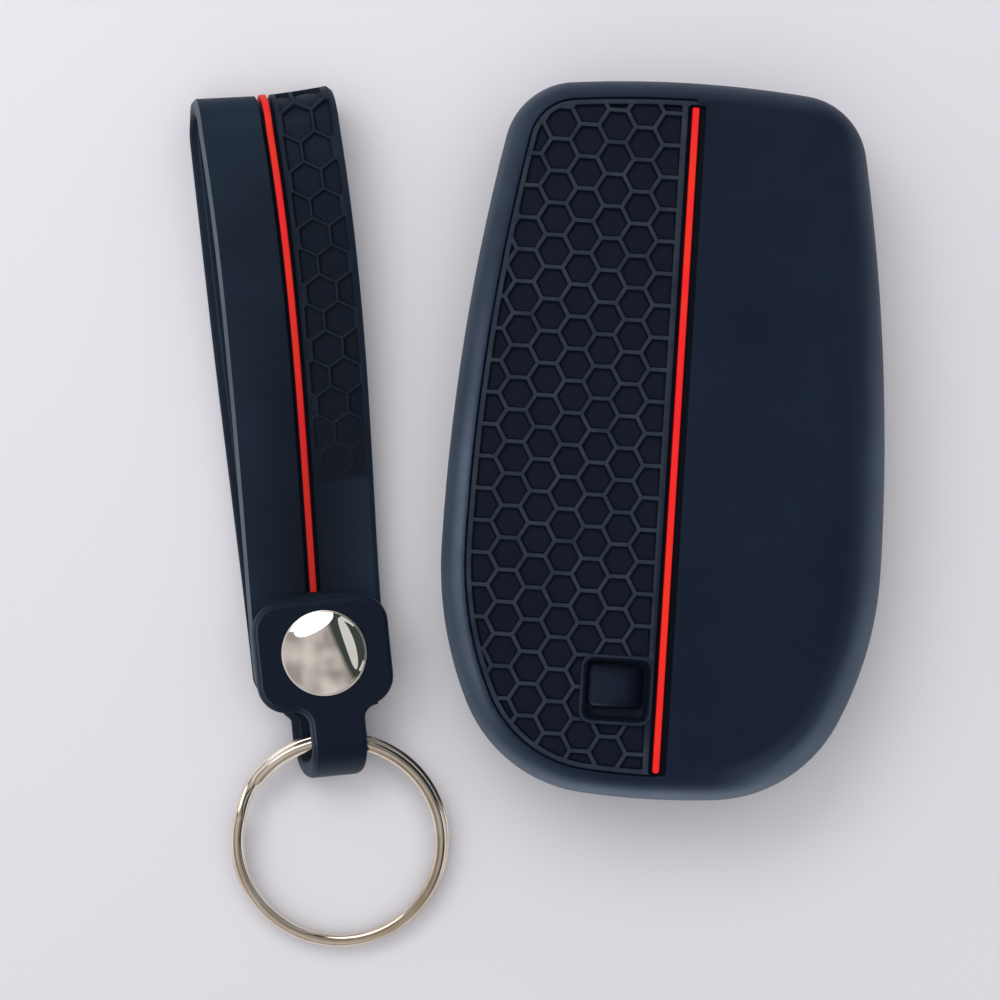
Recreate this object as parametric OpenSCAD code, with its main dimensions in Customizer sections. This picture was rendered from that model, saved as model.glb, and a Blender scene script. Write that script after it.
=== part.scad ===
// Moulded key fob cover with its matching strap keychain.
// +Y points to the cover's top end, +Z is up, and the cover lies on its back.
// The origin is the middle of the cover's back, on the table.

/* [Cover] */
// Length of the cover, end to end
cover_l = 79; // [76:1:86]
// Width of the cover at its widest place
cover_w = 48.5; // [46:0.5:54]
// Height of the cover, from its back to its front face
cover_h = 15.5; // [15:0.5:18]
// Wall round the sides
side_wall = 1.6; // [1.4:0.1:2]
// Wall under the front face
front_wall = 2.2; // [2:0.1:2.6]
// Thickness of the lip that holds the key in at the back
back_lip_t = 1.4; // [1.2:0.1:1.8]
// Width of that lip, in from the side wall
back_lip_w = 4; // [3:0.5:6]
// Plan width of the rounded front shoulder along the sides
shoulder_w = 3.4; // [3:0.1:3.8]
// Plan width of the rounded front shoulder at the ends
end_shoulder_w = 2.6; // [2.2:0.1:2.8]
// Height of the rounded front shoulder
shoulder_h = 5; // [4:0.5:6]
// Radius of the rounded back edge
back_r = 2.4; // [2:0.1:3]
// Width of the slot in the top end for the key's own loop
slot_w = 20; // [14:1:24]
// Height of that slot
slot_h = 5; // [4:0.5:6]

/* [Honeycomb] */
// Distance between the middles of neighbouring cells
cell_pitch = 3.486; // [3.3:0.002:3.9]
// Width of the ribs between the cells
rib_w = 0.4; // [0.36:0.02:0.6]
// Depth of the cells below the ribs
cell_depth = 0.55; // [0.4:0.05:0.7]
// Width of the border rib round the panel
border_w = 0.42; // [0.36:0.02:0.6]
// Width of the crease outside the border rib
crease_w = 0.3; // [0.2:0.05:0.4]
// Distance of the panel's edge from the cover's side
panel_side = 2.6; // [2.4:0.1:3.2]
// Distance of the panel's edge from the cover's ends
panel_end = 2.6; // [2.4:0.1:3.2]
// Width of the ribs between the strap's cells
strap_rib_w = 0.3; // [0.3:0.02:0.5]

/* [Stripe] */
// Width of the red stripe
stripe_w = 0.8; // [0.7:0.05:1.1]
// Width of the groove that it lies in
groove_w = 2.1; // [1.8:0.1:2.4]
// Width of the strap's groove
strap_groove_w = 1.8; // [1.6:0.1:2.2]
// Depth of that groove
groove_d = 0.8; // [0.6:0.1:1]
// Rise of the stripe above the surface beside its groove
stripe_rise = 0.1; // [0:0.05:0.3]
// Distance of the cover's groove from its middle line
groove_x = 0.7; // [0.6:0.1:2]
// Distance of the cover's stripe from the middle of its groove
stripe_off = 0.15; // [0:0.05:0.3]
// Length of the cover's stripe
stripe_l = 72.4; // [68:0.2:73]

/* [Button] */
// Outer width of the frame round the button
frame_w = 8.1; // [7.9:0.1:8.6]
// Outer length of that frame
frame_l = 7.7; // [7.6:0.1:8.4]
// Width of the frame's rim
frame_rim = 0.8; // [0.6:0.1:1]
// Outer corner radius of the frame
frame_r = 1.5; // [1:0.1:2]
// Rise of the frame above the front face
frame_rise = 0.35; // [0.2:0.05:0.6]
// Distance of the frame's middle to the left of the cover's middle
frame_x = 4.25; // [4.2:0.05:7]
// Distance of the frame's middle from the cover's lower end
frame_up = 12.1; // [11.5:0.1:20]
// Width of the button pad
pad_w = 5.9; // [5.4:0.1:5.9]
// Length of the button pad
pad_l = 4.6; // [4.4:0.1:5]
// Depth of the pad's rim below the front face
pad_sink = 0.75; // [0.6:0.05:0.9]
// Depth of the dish in the pad
dish_d = 0.35; // [0.2:0.05:0.4]

/* [Strap] */
// Width of the strap
strap_w = 15.6; // [14:0.2:16.4]
// Thickness of the strap
strap_t = 1.9; // [1.7:0.1:2.2]
// Distance from the snap's middle to the far end of the fold
strap_l = 63; // [59:1:74]
// Height of the fold at the top of the strap
fold_h = 9; // [8.4:0.2:10.4]
// Angle between the strap and the cover
strap_lean = 9.3; // [6:0.1:12]
// Distance from the cover's left side to the snap's middle
strap_gap = 12.35; // [11.5:0.05:20]
// Distance from the cover's middle down to the snap's middle
snap_drop = 25.8; // [22:0.2:28]
// Width of the neck that goes round the ring
neck_w = 6.2; // [5.6:0.2:7]
// Inner radius of the loop that the neck makes
loop_r = 2; // [1.95:0.05:2.3]
// Distance from the snap's middle to the middle of the loop
loop_reach = 10.2; // [9.8:0.1:12]
// Width of the tab's wide pad
tab_w = 15.2; // [14:0.2:16]
// Length of the tab's wide pad
tab_l = 12.4; // [12:0.2:14.4]
// Corner radius of the tab's wide pad
tab_r = 3.2; // [2:0.2:4]

/* [Snap and ring] */
// Diameter of the snap's domed cap
cap_d = 9.6; // [9:0.2:10.4]
// Height of the cap above the tab
cap_h = 1.25; // [1:0.05:1.5]
// Outer diameter of the split ring
ring_d = 25; // [25:1:30]
// Radial width of the ring's wire
wire_w = 1.7; // [1.5:0.1:1.8]
// Thickness of the ring's wire, one turn
wire_t = 1.15; // [1:0.05:1.2]

/* [Hidden] */
$fn = 64;

silicone = "#1f2a39";
red = "#e8202c";
steel = "#c9c3b8";

// Overrun of every cut past the faces that it goes through
over = 1;

// Half of the cover's outline, as arcs from the middle of the top end clockwise to the bottom end.
// Each row is [radius as a share of the width, turn in degrees, steps]; a last arc closes the half.
outline_shares = [[2.6, 6, 4], [0.165, 73, 12], [5, 11, 8], [0.85, 25, 8], [0.335, 60, 12]];
closing_steps = 4;

// Points of a clockwise arc of radius r that turns by a, from point p with heading h
function arc(p, h, r, a, steps) =
    [for (i = [1 : steps]) p + r * [sin(h) - sin(h - a * i / steps), cos(h - a * i / steps) - cos(h)]];

// Points of a chain of arcs, with heading h to start from
function chain(rows, p, h, k = 0) =
    k == len(rows) ? closing(p, h) :
    let (part = arc(p, h, rows[k][0], rows[k][1], rows[k][2]))
    concat(part, chain(rows, part[len(part) - 1], h - rows[k][1], k + 1));

// The last arc, which ends on the middle line with a level heading
function closing(p, h) = arc(p, h, p.x / sin(180 + h), 180 + h, closing_steps);

half_chain = chain(outline_shares, [0, 0], 0);
chain_w = max([for (p = half_chain) p.x]);
chain_l = -half_chain[len(half_chain) - 1].y;
half_outline = [for (p = half_chain) [p.x / chain_w * cover_w / 2, cover_l / 2 + p.y / chain_l * cover_l]];
half_count = len(half_outline);

// The whole outline, clockwise, with one point at each end
outline = concat([[0, cover_l / 2]], half_outline,
                 [for (i = [half_count - 2 : -1 : 0]) [-half_outline[i].x, half_outline[i].y]]);
outline_count = len(outline);

function unit(v) = v / norm(v);

// Outward normal of the outline at point i
function outline_normal(i) =
    let (ahead = outline[(i + 1) % outline_count],
         behind = outline[(i + outline_count - 1) % outline_count],
         along = unit(ahead - behind))
    [-along.y, along.x];

// The outline drawn in by side where it faces sideways, and by end where it faces an end
function drawn_in(side, end) =
    [for (i = [0 : outline_count - 1])
        let (n = outline_normal(i)) outline[i] - n * (side * n.x ^ 2 + end * n.y ^ 2)];

// Steps of a rounded shoulder
shoulder_steps = 6;

// Levels of a rounded pillow, as [z, side inset, end inset], from the bottom up
function levels(low, high, base_r, side, end, rise, wall = 0) = concat(
    [for (i = [0 : shoulder_steps])
        let (a = 90 * i / shoulder_steps)
        [low + base_r * (1 - cos(a)), wall + base_r * (1 - sin(a)), wall + base_r * (1 - sin(a))]],
    [for (i = [0 : shoulder_steps])
        let (a = 90 * i / shoulder_steps)
        [high - rise * (1 - sin(a)), wall + side * (1 - cos(a)), wall + end * (1 - cos(a))]]);

// Faces of a stack of rings that all have the same number of points
function stack_faces(rings, count) = concat(
    [[for (i = [0 : count - 1]) i]],
    [for (k = [0 : rings - 2], i = [0 : count - 1])
        let (j = (i + 1) % count)
        [k * count + i, (k + 1) * count + i, (k + 1) * count + j, k * count + j]],
    [[for (i = [count - 1 : -1 : 0]) (rings - 1) * count + i]]);

function reversed(list) = [for (i = [len(list) - 1 : -1 : 0]) list[i]];

// A solid lofted through the outline at each level
module pillow(rows) {
    polyhedron(points = [for (row = rows) each [for (p = drawn_in(row[1], row[2])) [p.x, p.y, row[0]]]],
               faces = [for (face = stack_faces(len(rows), outline_count)) reversed(face)], convexity = 4);
}

// Places on the cover
front_z = cover_h;
seat_z = cover_h - front_wall;
cavity_side_round = shoulder_w - side_wall;
cavity_end_round = end_shoulder_w - side_wall / 2;
cavity_rise = shoulder_h - front_wall;
cavity_base_r = back_r / 2;
slot_z = back_lip_t + (seat_z - back_lip_t) / 2;
slot_r = slot_h / 4;

// The honeycomb panel lies this far above the cover's middle, and its corners are nearly square
panel_lift = 0.25;
panel_r = 0.3;
groove_left = groove_x - groove_w / 2;
right_rib_w = 0.52;
root3 = sqrt(3);
cell_r = (cell_pitch - rib_w) / root3;
column_step = cell_pitch * root3 / 2;
// Slivers of cells narrower than twice this are left solid
sliver = 0.15;
// A cell of the cover's honeycomb lies half a column and this share of a pitch off the frame's middle
lattice_shares = [-0.2, 0.03];

// Places in the button's well, from the front face down
well_d = 1.2;
relief_d = 0.6;
pad_gap = 0.2;
flange_w = 0.6;
flange_gap = 0.1;
frame_at = [-frame_x, frame_up - cover_l / 2];
// The pad lies this far above the frame's middle
pad_lift = 0.35;
pad_at = frame_at + [0, pad_lift];
well_r = frame_r - frame_rim;
pad_r = 0.8;
well_floor_z = front_z - well_d;
pad_top_z = front_z - pad_sink;
dish_r = (pad_w ^ 2 / 4 + dish_d ^ 2) / (2 * dish_d);

// A flat rectangle with round corners
module rounded(size, r) {
    offset(r) square(size - 2 * [r, r], center = true);
}

// The area of the honeycomb panel, drawn in by inset, and as far to the right as right
module panel_area(inset, right) {
    offset(panel_r) offset(-panel_r) intersection() {
        translate([0, panel_lift]) polygon(drawn_in(panel_side + inset, panel_end + inset));
        translate([right - cover_w, -cover_l / 2]) square([cover_w, cover_l]);
    }
}

// The lattice of cells over the whole cover
module cell_field() {
    columns = ceil(cover_w / column_step / 2);
    rows = ceil(cover_l / cell_pitch);
    for (i = [-columns : columns], j = [-rows : rows])
        translate(frame_at + [lattice_shares.x + i, 0] * column_step
                  + [0, lattice_shares.y + j + (i % 2 == 0 ? 0 : 1 / 2)] * cell_pitch)
            circle(r = cell_r, $fn = 6);
}

module panel_cells() {
    offset(delta = sliver) offset(delta = -sliver) difference() {
        intersection() {
            cell_field();
            panel_area(crease_w + border_w, groove_left - right_rib_w);
        }
        translate(frame_at) rounded([frame_w, frame_l], frame_r);
    }
}

module panel_relief() {
    translate([0, 0, front_z - cell_depth]) linear_extrude(cell_depth + over) {
        panel_cells();
        difference() {
            panel_area(0, groove_x);
            panel_area(crease_w, groove_x);
            translate(frame_at) rounded([frame_w, frame_l], frame_r);
        }
    }
}

// A bar with round ends along Y
module bar(w, l) {
    hull() for (side = [-1, 1]) translate([0, side * (l - w) / 2]) circle(d = w);
}

module button_well() {
    translate([frame_at.x, frame_at.y, well_floor_z]) linear_extrude(well_d + frame_rise + over)
        rounded([frame_w, frame_l] - 2 * frame_rim * [1, 1], well_r);
    translate([pad_at.x, pad_at.y, 0]) {
        translate([0, 0, seat_z]) linear_extrude(front_wall)
            rounded([pad_w, pad_l] + 2 * [pad_gap, pad_gap], pad_r + pad_gap);
        translate([0, 0, seat_z - over]) linear_extrude(relief_d + over)
            rounded([pad_w, pad_l] + 2 * (flange_w + pad_gap) * [1, 1], pad_r + flange_w);
    }
}

module cover_shell() color(silicone) difference() {
    union() {
        pillow(levels(0, front_z, back_r, shoulder_w, end_shoulder_w, shoulder_h));
        translate([frame_at.x, frame_at.y, front_z - cell_depth - over])
            linear_extrude(cell_depth + over + frame_rise) rounded([frame_w, frame_l], frame_r);
    }
    pillow(levels(back_lip_t, seat_z, cavity_base_r, cavity_side_round, cavity_end_round, cavity_rise,
                  side_wall));
    translate([0, 0, -over]) linear_extrude(back_lip_t + cavity_base_r + over)
        polygon(drawn_in(side_wall + back_lip_w, side_wall + back_lip_w));
    translate([0, cover_l / 2, slot_z]) rotate([90, 0, 0])
        linear_extrude(2 * (side_wall + end_shoulder_w), center = true) rounded([slot_w, slot_h], slot_r);
    translate([groove_x, 0, front_z - groove_d]) linear_extrude(groove_d + frame_rise + over)
        bar(groove_w, stripe_l + groove_w - stripe_w);
    panel_relief();
    button_well();
}

module cover_stripe() color(red)
    translate([groove_x - stripe_off, 0, front_z - groove_d]) linear_extrude(groove_d + stripe_rise)
        bar(stripe_w, stripe_l);

module button_pad() color(silicone) translate([pad_at.x, pad_at.y, 0]) difference() {
    union() {
        translate([0, 0, seat_z]) linear_extrude(pad_top_z - seat_z) rounded([pad_w, pad_l], pad_r);
        translate([0, 0, seat_z]) linear_extrude(relief_d - flange_gap)
            rounded([pad_w, pad_l] + 2 * flange_w * [1, 1], pad_r + flange_w - pad_gap);
    }
    translate([0, 0, pad_top_z - dish_d + dish_r]) sphere(dish_r);
}

// The strap's own frame: the snap's middle at the origin, +Y along the strap to its fold
module in_strap_frame() {
    translate([-cover_w / 2 - strap_gap, -snap_drop, 0]) rotate(strap_lean) children();
}

// Places along the strap
loop_y = -loop_reach;
loop_z = strap_t + loop_r;
run_mid_r = loop_r + strap_t / 2;
fold_r = (fold_h - strap_t) / 2;
fold_y = strap_l - fold_r - strap_t / 2;
tab_under_z = strap_t + 2 * loop_r;
tab_top_z = tab_under_z + strap_t;

// Heights in the snap, from the front run's underside up
post_head_t = 0.35;
post_air = 0.45;
run_under_z = strap_t + post_air + post_head_t;
run_top_z = run_under_z + strap_t;
run_mid_z = run_under_z + strap_t / 2;

// The tab's pad and its neck lie this far off the snap
tab_x = -0.28;
tab_y = -0.1;
neck_x = 0.6;
// The loop runs off sideways by this much from the neck to the back run
loop_shift = -2.5;
// The back run drifts from one place to the other on its way to the fold
back_shift = -1.35;
back_end_shift = -2;
// The front run goes from one place to the other, and bows out between
front_shift = -1;
front_end_shift = -0.2;
front_bow = 0.67;
// The strap is narrower by this much on each side at the snap, and full width from here on
strap_taper = 0.3;
full_from = 40;
// The back run widens from the neck between these places
flare_start = 2.6;
flare_l = 5.4;
flare_power = 0.6;
flare_from = loop_y + flare_start;
flare_to = flare_from + flare_l;
// The front run is level up to here, and ends in a half round this far past the snap
level_to = 8;
run_end_y = -5.2;
run_end_round = 3.4;
edge_bevel = 0.45;

loop_steps = 8;
flare_steps = 10;
back_steps = 6;
fold_steps = 18;
run_steps = 26;
end_steps = 6;

// Small step that a slope is measured over, and the least part of the end's half round
slope_step = 0.01;
end_share = 0.01;

function ease(t) = let (u = min(max(t, 0), 1)) u * u * (3 - 2 * u);
function flared(y) = ease((y - flare_from) / flare_l) ^ flare_power;
function half_at(y) = strap_w / 2 - strap_taper * (1 - ease(y / full_from));
function back_x(y) =
    let (u = min(max(y / fold_y, 0), 1), full = back_shift + (back_end_shift - back_shift) * u)
    neck_x + loop_shift + (full - neck_x - loop_shift) * flared(y);
function back_half(y) = neck_w / 2 + (half_at(y) - neck_w / 2) * flared(y);
// The bow is a cubic that is at its most, front_bow, two thirds of the way up
function front_x(y) =
    let (u = min(max(y / fold_y, 0), 1))
    front_shift + (front_end_shift - front_shift) * u + 27 / 4 * front_bow * u ^ 2 * (1 - u);
function front_z_at(y) =
    run_mid_z + (strap_t / 2 + 2 * fold_r - run_mid_z) * ease((y - level_to) / (fold_y - level_to));
function front_half(y) =
    let (past = max(run_end_y + run_end_round - y, 0) / run_end_round)
    half_at(y) - run_end_round + run_end_round * sqrt(max(1 - past ^ 2, end_share ^ 2));

// Heading of the front run in its side view, where 180 is level and back towards the snap
function front_heading(y) =
    180 - atan((front_z_at(y - slope_step) - front_z_at(y + slope_step)) / (2 * slope_step));

// Station of the loop at a share of its half turn, from the tab's end to the back run
function loop_station(t) =
    let (a = 90 + 180 * t)
    [neck_x + loop_shift * ease(t), loop_y + run_mid_r * cos(a), loop_z + run_mid_r * sin(a),
     a + 90 - 360, neck_w / 2];

// Stations of the strip, as [x, y, z, heading in the side view, half width]
loop_path = [for (i = [loop_steps : 2 * loop_steps]) loop_station(i / loop_steps / 2)];
back_path = concat(
    [for (i = [0 : flare_steps])
        let (y = flare_from + flare_l * i / flare_steps) [back_x(y), y, strap_t / 2, 0, back_half(y)]],
    [for (i = [1 : back_steps - 1])
        let (y = flare_to + (fold_y - flare_to) * i / back_steps)
        [back_x(y), y, strap_t / 2, 0, back_half(y)]]);
fold_path = [for (i = [0 : fold_steps])
    let (t = i / fold_steps, a = -90 + 180 * t)
    [back_end_shift + (front_end_shift - back_end_shift) * ease(t), fold_y + fold_r * cos(a),
     strap_t / 2 + fold_r + fold_r * sin(a), a + 90, strap_w / 2]];
run_path = [for (i = [1 : run_steps])
    let (y = fold_y + (run_end_y + run_end_round - fold_y) * i / run_steps)
    [front_x(y), y, front_z_at(y), front_heading(y), front_half(y)]];
end_path = [for (i = [1 : end_steps])
    let (y = run_end_y + run_end_round * (1 - sin(90 * i / end_steps)))
    [front_x(y), y, run_mid_z, 180, front_half(y)]];
band_path = concat(loop_path, back_path, fold_path, run_path, end_path);

// The groove starts half way round the fold and ends just short of the tab
groove_short = 0.65;
groove_to = tab_l / 2 + tab_y + groove_short;
groove_run_path = [for (i = [1 : run_steps])
    let (y = fold_y + (groove_to - fold_y) * i / run_steps)
    [front_x(y), y, front_z_at(y), front_heading(y)]];
groove_path = concat([for (i = [round(fold_steps / 2) : fold_steps]) fold_path[i]], groove_run_path);

// A point of the strip's section: u across, v outwards from the middle of the thickness
function on_strip(row, u, v) = [row[0] + u, row[1] + v * sin(row[3]), row[2] - v * cos(row[3])];

function band_section(half) =
    let (t = strap_t / 2, b = edge_bevel)
    [[-half, b - t], [b - half, -t], [half - b, -t], [half, b - t],
     [half, t - b], [half - b, t], [b - half, t], [-half, t - b]];

// A solid swept along the strip; sections holds one list of [u, v] for each station
module swept(path, sections) {
    count = len(sections[0]);
    polyhedron(points = [for (k = [0 : len(path) - 1]) each
                   [for (p = sections[k]) on_strip(path[k], p[0], p[1])]],
               faces = stack_faces(len(path), count), convexity = 6);
}

// The strap's groove and stripe lie this far to the right of its middle line
groove_off = 0.1;
function box_section(w, low, high, off = 0) =
    [[off - w / 2, low], [off + w / 2, low], [off + w / 2, high], [off - w / 2, high]];

groove_floor = strap_t / 2 - groove_d;
snap_hole_r = 1.2;

// The strap's cells run in two staggered rows between the groove's border rib and the edge
cell_rows_from = 21.45;
cell_rows_fade = 9;
cell_offset = 0.48;
cell_fade_share = 0.15;
cell_row_share = 0.898;
cell_row_step = cell_pitch * cell_row_share;
strap_cell_r = (cell_pitch - strap_rib_w) / root3;
cell_low = groove_off + strap_groove_w / 2 + border_w;
cell_first_x = cell_low + (cell_pitch - strap_rib_w) / 2 + cell_offset;
cell_row_count = floor((fold_y + fold_r / 2 - cell_rows_from) / cell_row_step);

// The least width of a cell that is cut short by the groove or the edge
least_cell = 0.6;

module strap_cell(y, x) {
    fade = cell_fade_share + (1 - cell_fade_share) * ease((y - cell_rows_from) / cell_rows_fade);
    high = front_half(y) - edge_bevel - strap_rib_w;
    half = (cell_pitch - strap_rib_w) / 2;
    if (min(high, x + half) - max(cell_low, x - half) > least_cell)
        translate([front_x(y), y, front_z_at(y)]) rotate([180 - front_heading(y), 0, 0])
            translate([0, 0, strap_t / 2 - cell_depth * fade]) linear_extrude(cell_depth * fade + over)
                intersection() {
                    translate([x, 0]) rotate(90) circle(r = strap_cell_r, $fn = 6);
                    translate([cell_low, -cell_pitch]) square([high - cell_low, 2 * cell_pitch]);
                }
}

module strap_band() color(silicone) in_strap_frame() difference() {
    swept(band_path, [for (row = band_path) band_section(row[4])]);
    swept(groove_path,
          [for (row = groove_path)
              box_section(strap_groove_w, groove_floor, strap_t / 2 + over, groove_off)]);
    for (j = [0 : cell_row_count], k = [-1 : 1])
        strap_cell(cell_rows_from + j * cell_row_step, cell_first_x + (k + (j % 2) / 2) * cell_pitch);
    translate([0, 0, run_under_z - post_head_t]) cylinder(r = snap_hole_r, h = strap_t + 2 * post_head_t);
}

module strap_stripe() color(red) in_strap_frame()
    swept(groove_path,
          [for (row = groove_path)
              box_section(stripe_w, groove_floor, strap_t / 2 + stripe_rise, groove_off)]);

// Turn of the gap between the tab and the strip where the loop is parted for the hinge
part_share = 0.004;
tab_bevel = 0.35;
tab_fillet = 1.6;

// The tab's half of the loop, from inside its neck to the parting
tab_loop_steps = 10;
tab_loop_path = concat(
    [[neck_x, loop_y + strap_t, tab_under_z + strap_t / 2, -180, neck_w / 2]],
    [for (i = [0 : tab_loop_steps]) loop_station((1 / 2 - part_share) * i / tab_loop_steps)]);

module tab_plan(inset) {
    offset(-tab_fillet) offset(tab_fillet) {
        translate([tab_x, tab_y]) rounded([tab_w, tab_l] - 2 * inset * [1, 1], tab_r - inset);
        translate([neck_x + inset - neck_w / 2, loop_y]) square([neck_w - 2 * inset, loop_reach]);
    }
}

module keeper_tab() color(silicone) in_strap_frame() difference() {
    union() {
        translate([0, 0, tab_under_z]) linear_extrude(strap_t - tab_bevel) tab_plan(0);
        translate([0, 0, tab_under_z]) linear_extrude(strap_t) tab_plan(tab_bevel);
        swept(tab_loop_path, [for (row = tab_loop_path) band_section(row[4])]);
    }
    translate([0, 0, tab_under_z - over]) cylinder(r = snap_hole_r, h = strap_t + 2 * over);
}

// Heights and radii in the snap
cap_rim_t = 0.3;
cap_r = cap_d / 2;
cap_brim = 0.25;
dome_r = cap_r - cap_brim;
dome_rise = cap_h - cap_rim_t;
dome_ball_r = (dome_r ^ 2 + dome_rise ^ 2) / (2 * dome_rise);
fit_gap = 0.05;
sheet_t = 0.35;
barrel_r = snap_hole_r - fit_gap;
barrel_bore_r = barrel_r - sheet_t;
socket_r = 3.4;
socket_floor_t = 0.3;
roll_t = 0.12;
roll_w = 0.4;
roll_r = barrel_r + roll_w;
stud_r = 3.4;
stud_flange_t = 0.3;
snap_air = 0.08;
socket_bore_r = 2;
spring_wire_r = 0.16;
spring_turn = 300;
bulb_r = 1.7;
bulb_neck_r = 1.5;
socket_floor_z = tab_under_z - socket_floor_t;
socket_low_z = run_top_z + stud_flange_t + snap_air;
bulb_top_z = socket_floor_z - roll_t - snap_air;
spring_z = socket_low_z + spring_wire_r + fit_gap;
spring_r = socket_bore_r;
post_r = snap_hole_r - fit_gap;
post_bore_r = post_r - sheet_t;
post_head_r = 3;

module snap_cap() color(steel) in_strap_frame() {
    translate([0, 0, tab_top_z]) cylinder(r = cap_r, h = cap_rim_t);
    translate([0, 0, tab_top_z + cap_rim_t]) intersection() {
        cylinder(r = dome_r, h = dome_rise + over);
        translate([0, 0, dome_rise - dome_ball_r]) sphere(dome_ball_r);
    }
    difference() {
        union() {
            translate([0, 0, socket_floor_z]) cylinder(r = barrel_r, h = tab_top_z - socket_floor_z);
            translate([0, 0, socket_floor_z - roll_t]) cylinder(r = roll_r, h = roll_t);
        }
        translate([0, 0, socket_floor_z - roll_t - over])
            cylinder(r = barrel_bore_r, h = tab_top_z - socket_floor_z + roll_t);
    }
}

module snap_socket() color(steel) in_strap_frame() difference() {
    translate([0, 0, socket_low_z]) cylinder(r = socket_r, h = tab_under_z - socket_low_z);
    translate([0, 0, socket_low_z - over])
        cylinder(r = socket_bore_r, h = socket_floor_z - socket_low_z + over);
    translate([0, 0, socket_low_z - over])
        cylinder(r = snap_hole_r, h = tab_under_z - socket_low_z + 2 * over);
    translate([0, 0, spring_z]) rotate_extrude() translate([spring_r, 0])
        circle(r = spring_wire_r + fit_gap);
}

module snap_spring() color(steel) in_strap_frame() translate([0, 0, spring_z])
    rotate_extrude(angle = spring_turn) translate([spring_r, 0]) circle(r = spring_wire_r);

module snap_stud() color(steel) in_strap_frame() difference() {
    union() {
        translate([0, 0, run_top_z]) cylinder(r = stud_r, h = stud_flange_t);
        translate([0, 0, run_top_z]) cylinder(r = bulb_neck_r, h = bulb_top_z - run_top_z);
        translate([0, 0, spring_z + spring_wire_r])
            cylinder(r = bulb_r, h = bulb_top_z - spring_z - spring_wire_r);
    }
    translate([0, 0, run_top_z - over]) cylinder(r = snap_hole_r, h = bulb_top_z - run_top_z + 2 * over);
}

module snap_post() color(steel) in_strap_frame() difference() {
    union() {
        translate([0, 0, run_under_z - post_head_t]) cylinder(r = post_head_r, h = post_head_t);
        translate([0, 0, run_under_z]) cylinder(r = post_r, h = bulb_top_z - run_under_z);
    }
    translate([0, 0, run_under_z]) cylinder(r = post_bore_r, h = bulb_top_z - run_under_z + over);
}

// The split ring, wound as two turns of flat wire
turn_gap = 0.1;
wire_bevel = 0.3;
ring_shift = -0.83;
jog_turn = 22;
end_gap_turn = 1.5;
ring_mid_r = ring_d / 2 - wire_w / 2;
turn_step = wire_t + turn_gap;
coil_h = 2 * wire_t + turn_gap;
// The wire bows inside the loop, so its middle goes half of that bow past the loop's middle
wire_bow = ring_mid_r - sqrt(ring_mid_r ^ 2 - (neck_w / 2) ^ 2);
ring_reach = ring_mid_r - wire_bow / 2;
ring_tilt = asin((loop_z - coil_h / 2) / (ring_reach + ring_d / 2));
ring_start = 140;

// Section of the wire, as [out from the ring's axis, up from the turn's underside]
wire_section = [for (p = [[0, wire_bevel], [wire_bevel, 0], [wire_w - wire_bevel, 0], [wire_w, wire_bevel],
                          [wire_w, wire_t - wire_bevel], [wire_w - wire_bevel, wire_t],
                          [wire_bevel, wire_t], [0, wire_t - wire_bevel]])
                [ring_mid_r - wire_w / 2 + p[0], p[1]]];

// Stations of the wire, as [turn, rise]: one turn, the jog up to the second turn, and that turn
wire_from = jog_turn + end_gap_turn;
wire_to = 720 - end_gap_turn;
wire_steps = 94;
wire_stations = [for (k = [0 : wire_steps])
    let (a = wire_from + (wire_to - wire_from) * k / wire_steps)
    [a, turn_step * ease((a - 360) / jog_turn)]];

module split_ring() color(steel) in_strap_frame() translate([ring_shift, loop_y, loop_z])
    rotate([ring_tilt, 0, 0]) translate([0, -ring_reach, -coil_h / 2]) rotate(ring_start)
        polyhedron(points = [for (s = wire_stations) each
                       [for (p = wire_section) [p[0] * cos(s[0]), p[0] * sin(s[0]), p[1] + s[1]]]],
                   faces = stack_faces(len(wire_stations), len(wire_section)), convexity = 8);

cover_shell();
cover_stripe();
button_pad();
strap_band();
strap_stripe();
keeper_tab();
snap_cap();
snap_socket();
snap_spring();
snap_stud();
snap_post();
split_ring();
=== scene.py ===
"""Key fob cover with its matching strap keychain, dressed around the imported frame."""

import math

import bmesh
import bpy
import numpy as np
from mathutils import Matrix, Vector
from mathutils.geometry import delaunay_2d_cdt


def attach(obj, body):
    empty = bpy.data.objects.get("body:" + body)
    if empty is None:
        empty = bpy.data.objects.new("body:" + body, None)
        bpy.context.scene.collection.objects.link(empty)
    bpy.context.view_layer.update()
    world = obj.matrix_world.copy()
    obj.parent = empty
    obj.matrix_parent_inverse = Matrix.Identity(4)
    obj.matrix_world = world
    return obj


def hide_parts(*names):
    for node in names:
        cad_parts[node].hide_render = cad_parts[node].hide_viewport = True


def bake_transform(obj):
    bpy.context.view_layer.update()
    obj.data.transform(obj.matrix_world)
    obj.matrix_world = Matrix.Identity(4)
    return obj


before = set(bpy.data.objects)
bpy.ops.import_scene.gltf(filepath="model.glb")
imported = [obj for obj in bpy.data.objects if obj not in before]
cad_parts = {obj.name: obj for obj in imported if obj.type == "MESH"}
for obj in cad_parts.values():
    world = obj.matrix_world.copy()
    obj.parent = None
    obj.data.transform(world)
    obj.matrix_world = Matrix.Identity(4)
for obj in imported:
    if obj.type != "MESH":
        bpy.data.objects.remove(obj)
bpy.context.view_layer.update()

# ---------------------------------------------------------------------------------------------
# Cover shell. A silicone moulding that is stretched over the key from its open back. Its front
# has rounded shoulders all round, a sunken honeycomb panel, the stripe's groove and the frame
# of the button's well. All lengths in this file are in millimetres until a mesh is made.
# ---------------------------------------------------------------------------------------------

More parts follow.
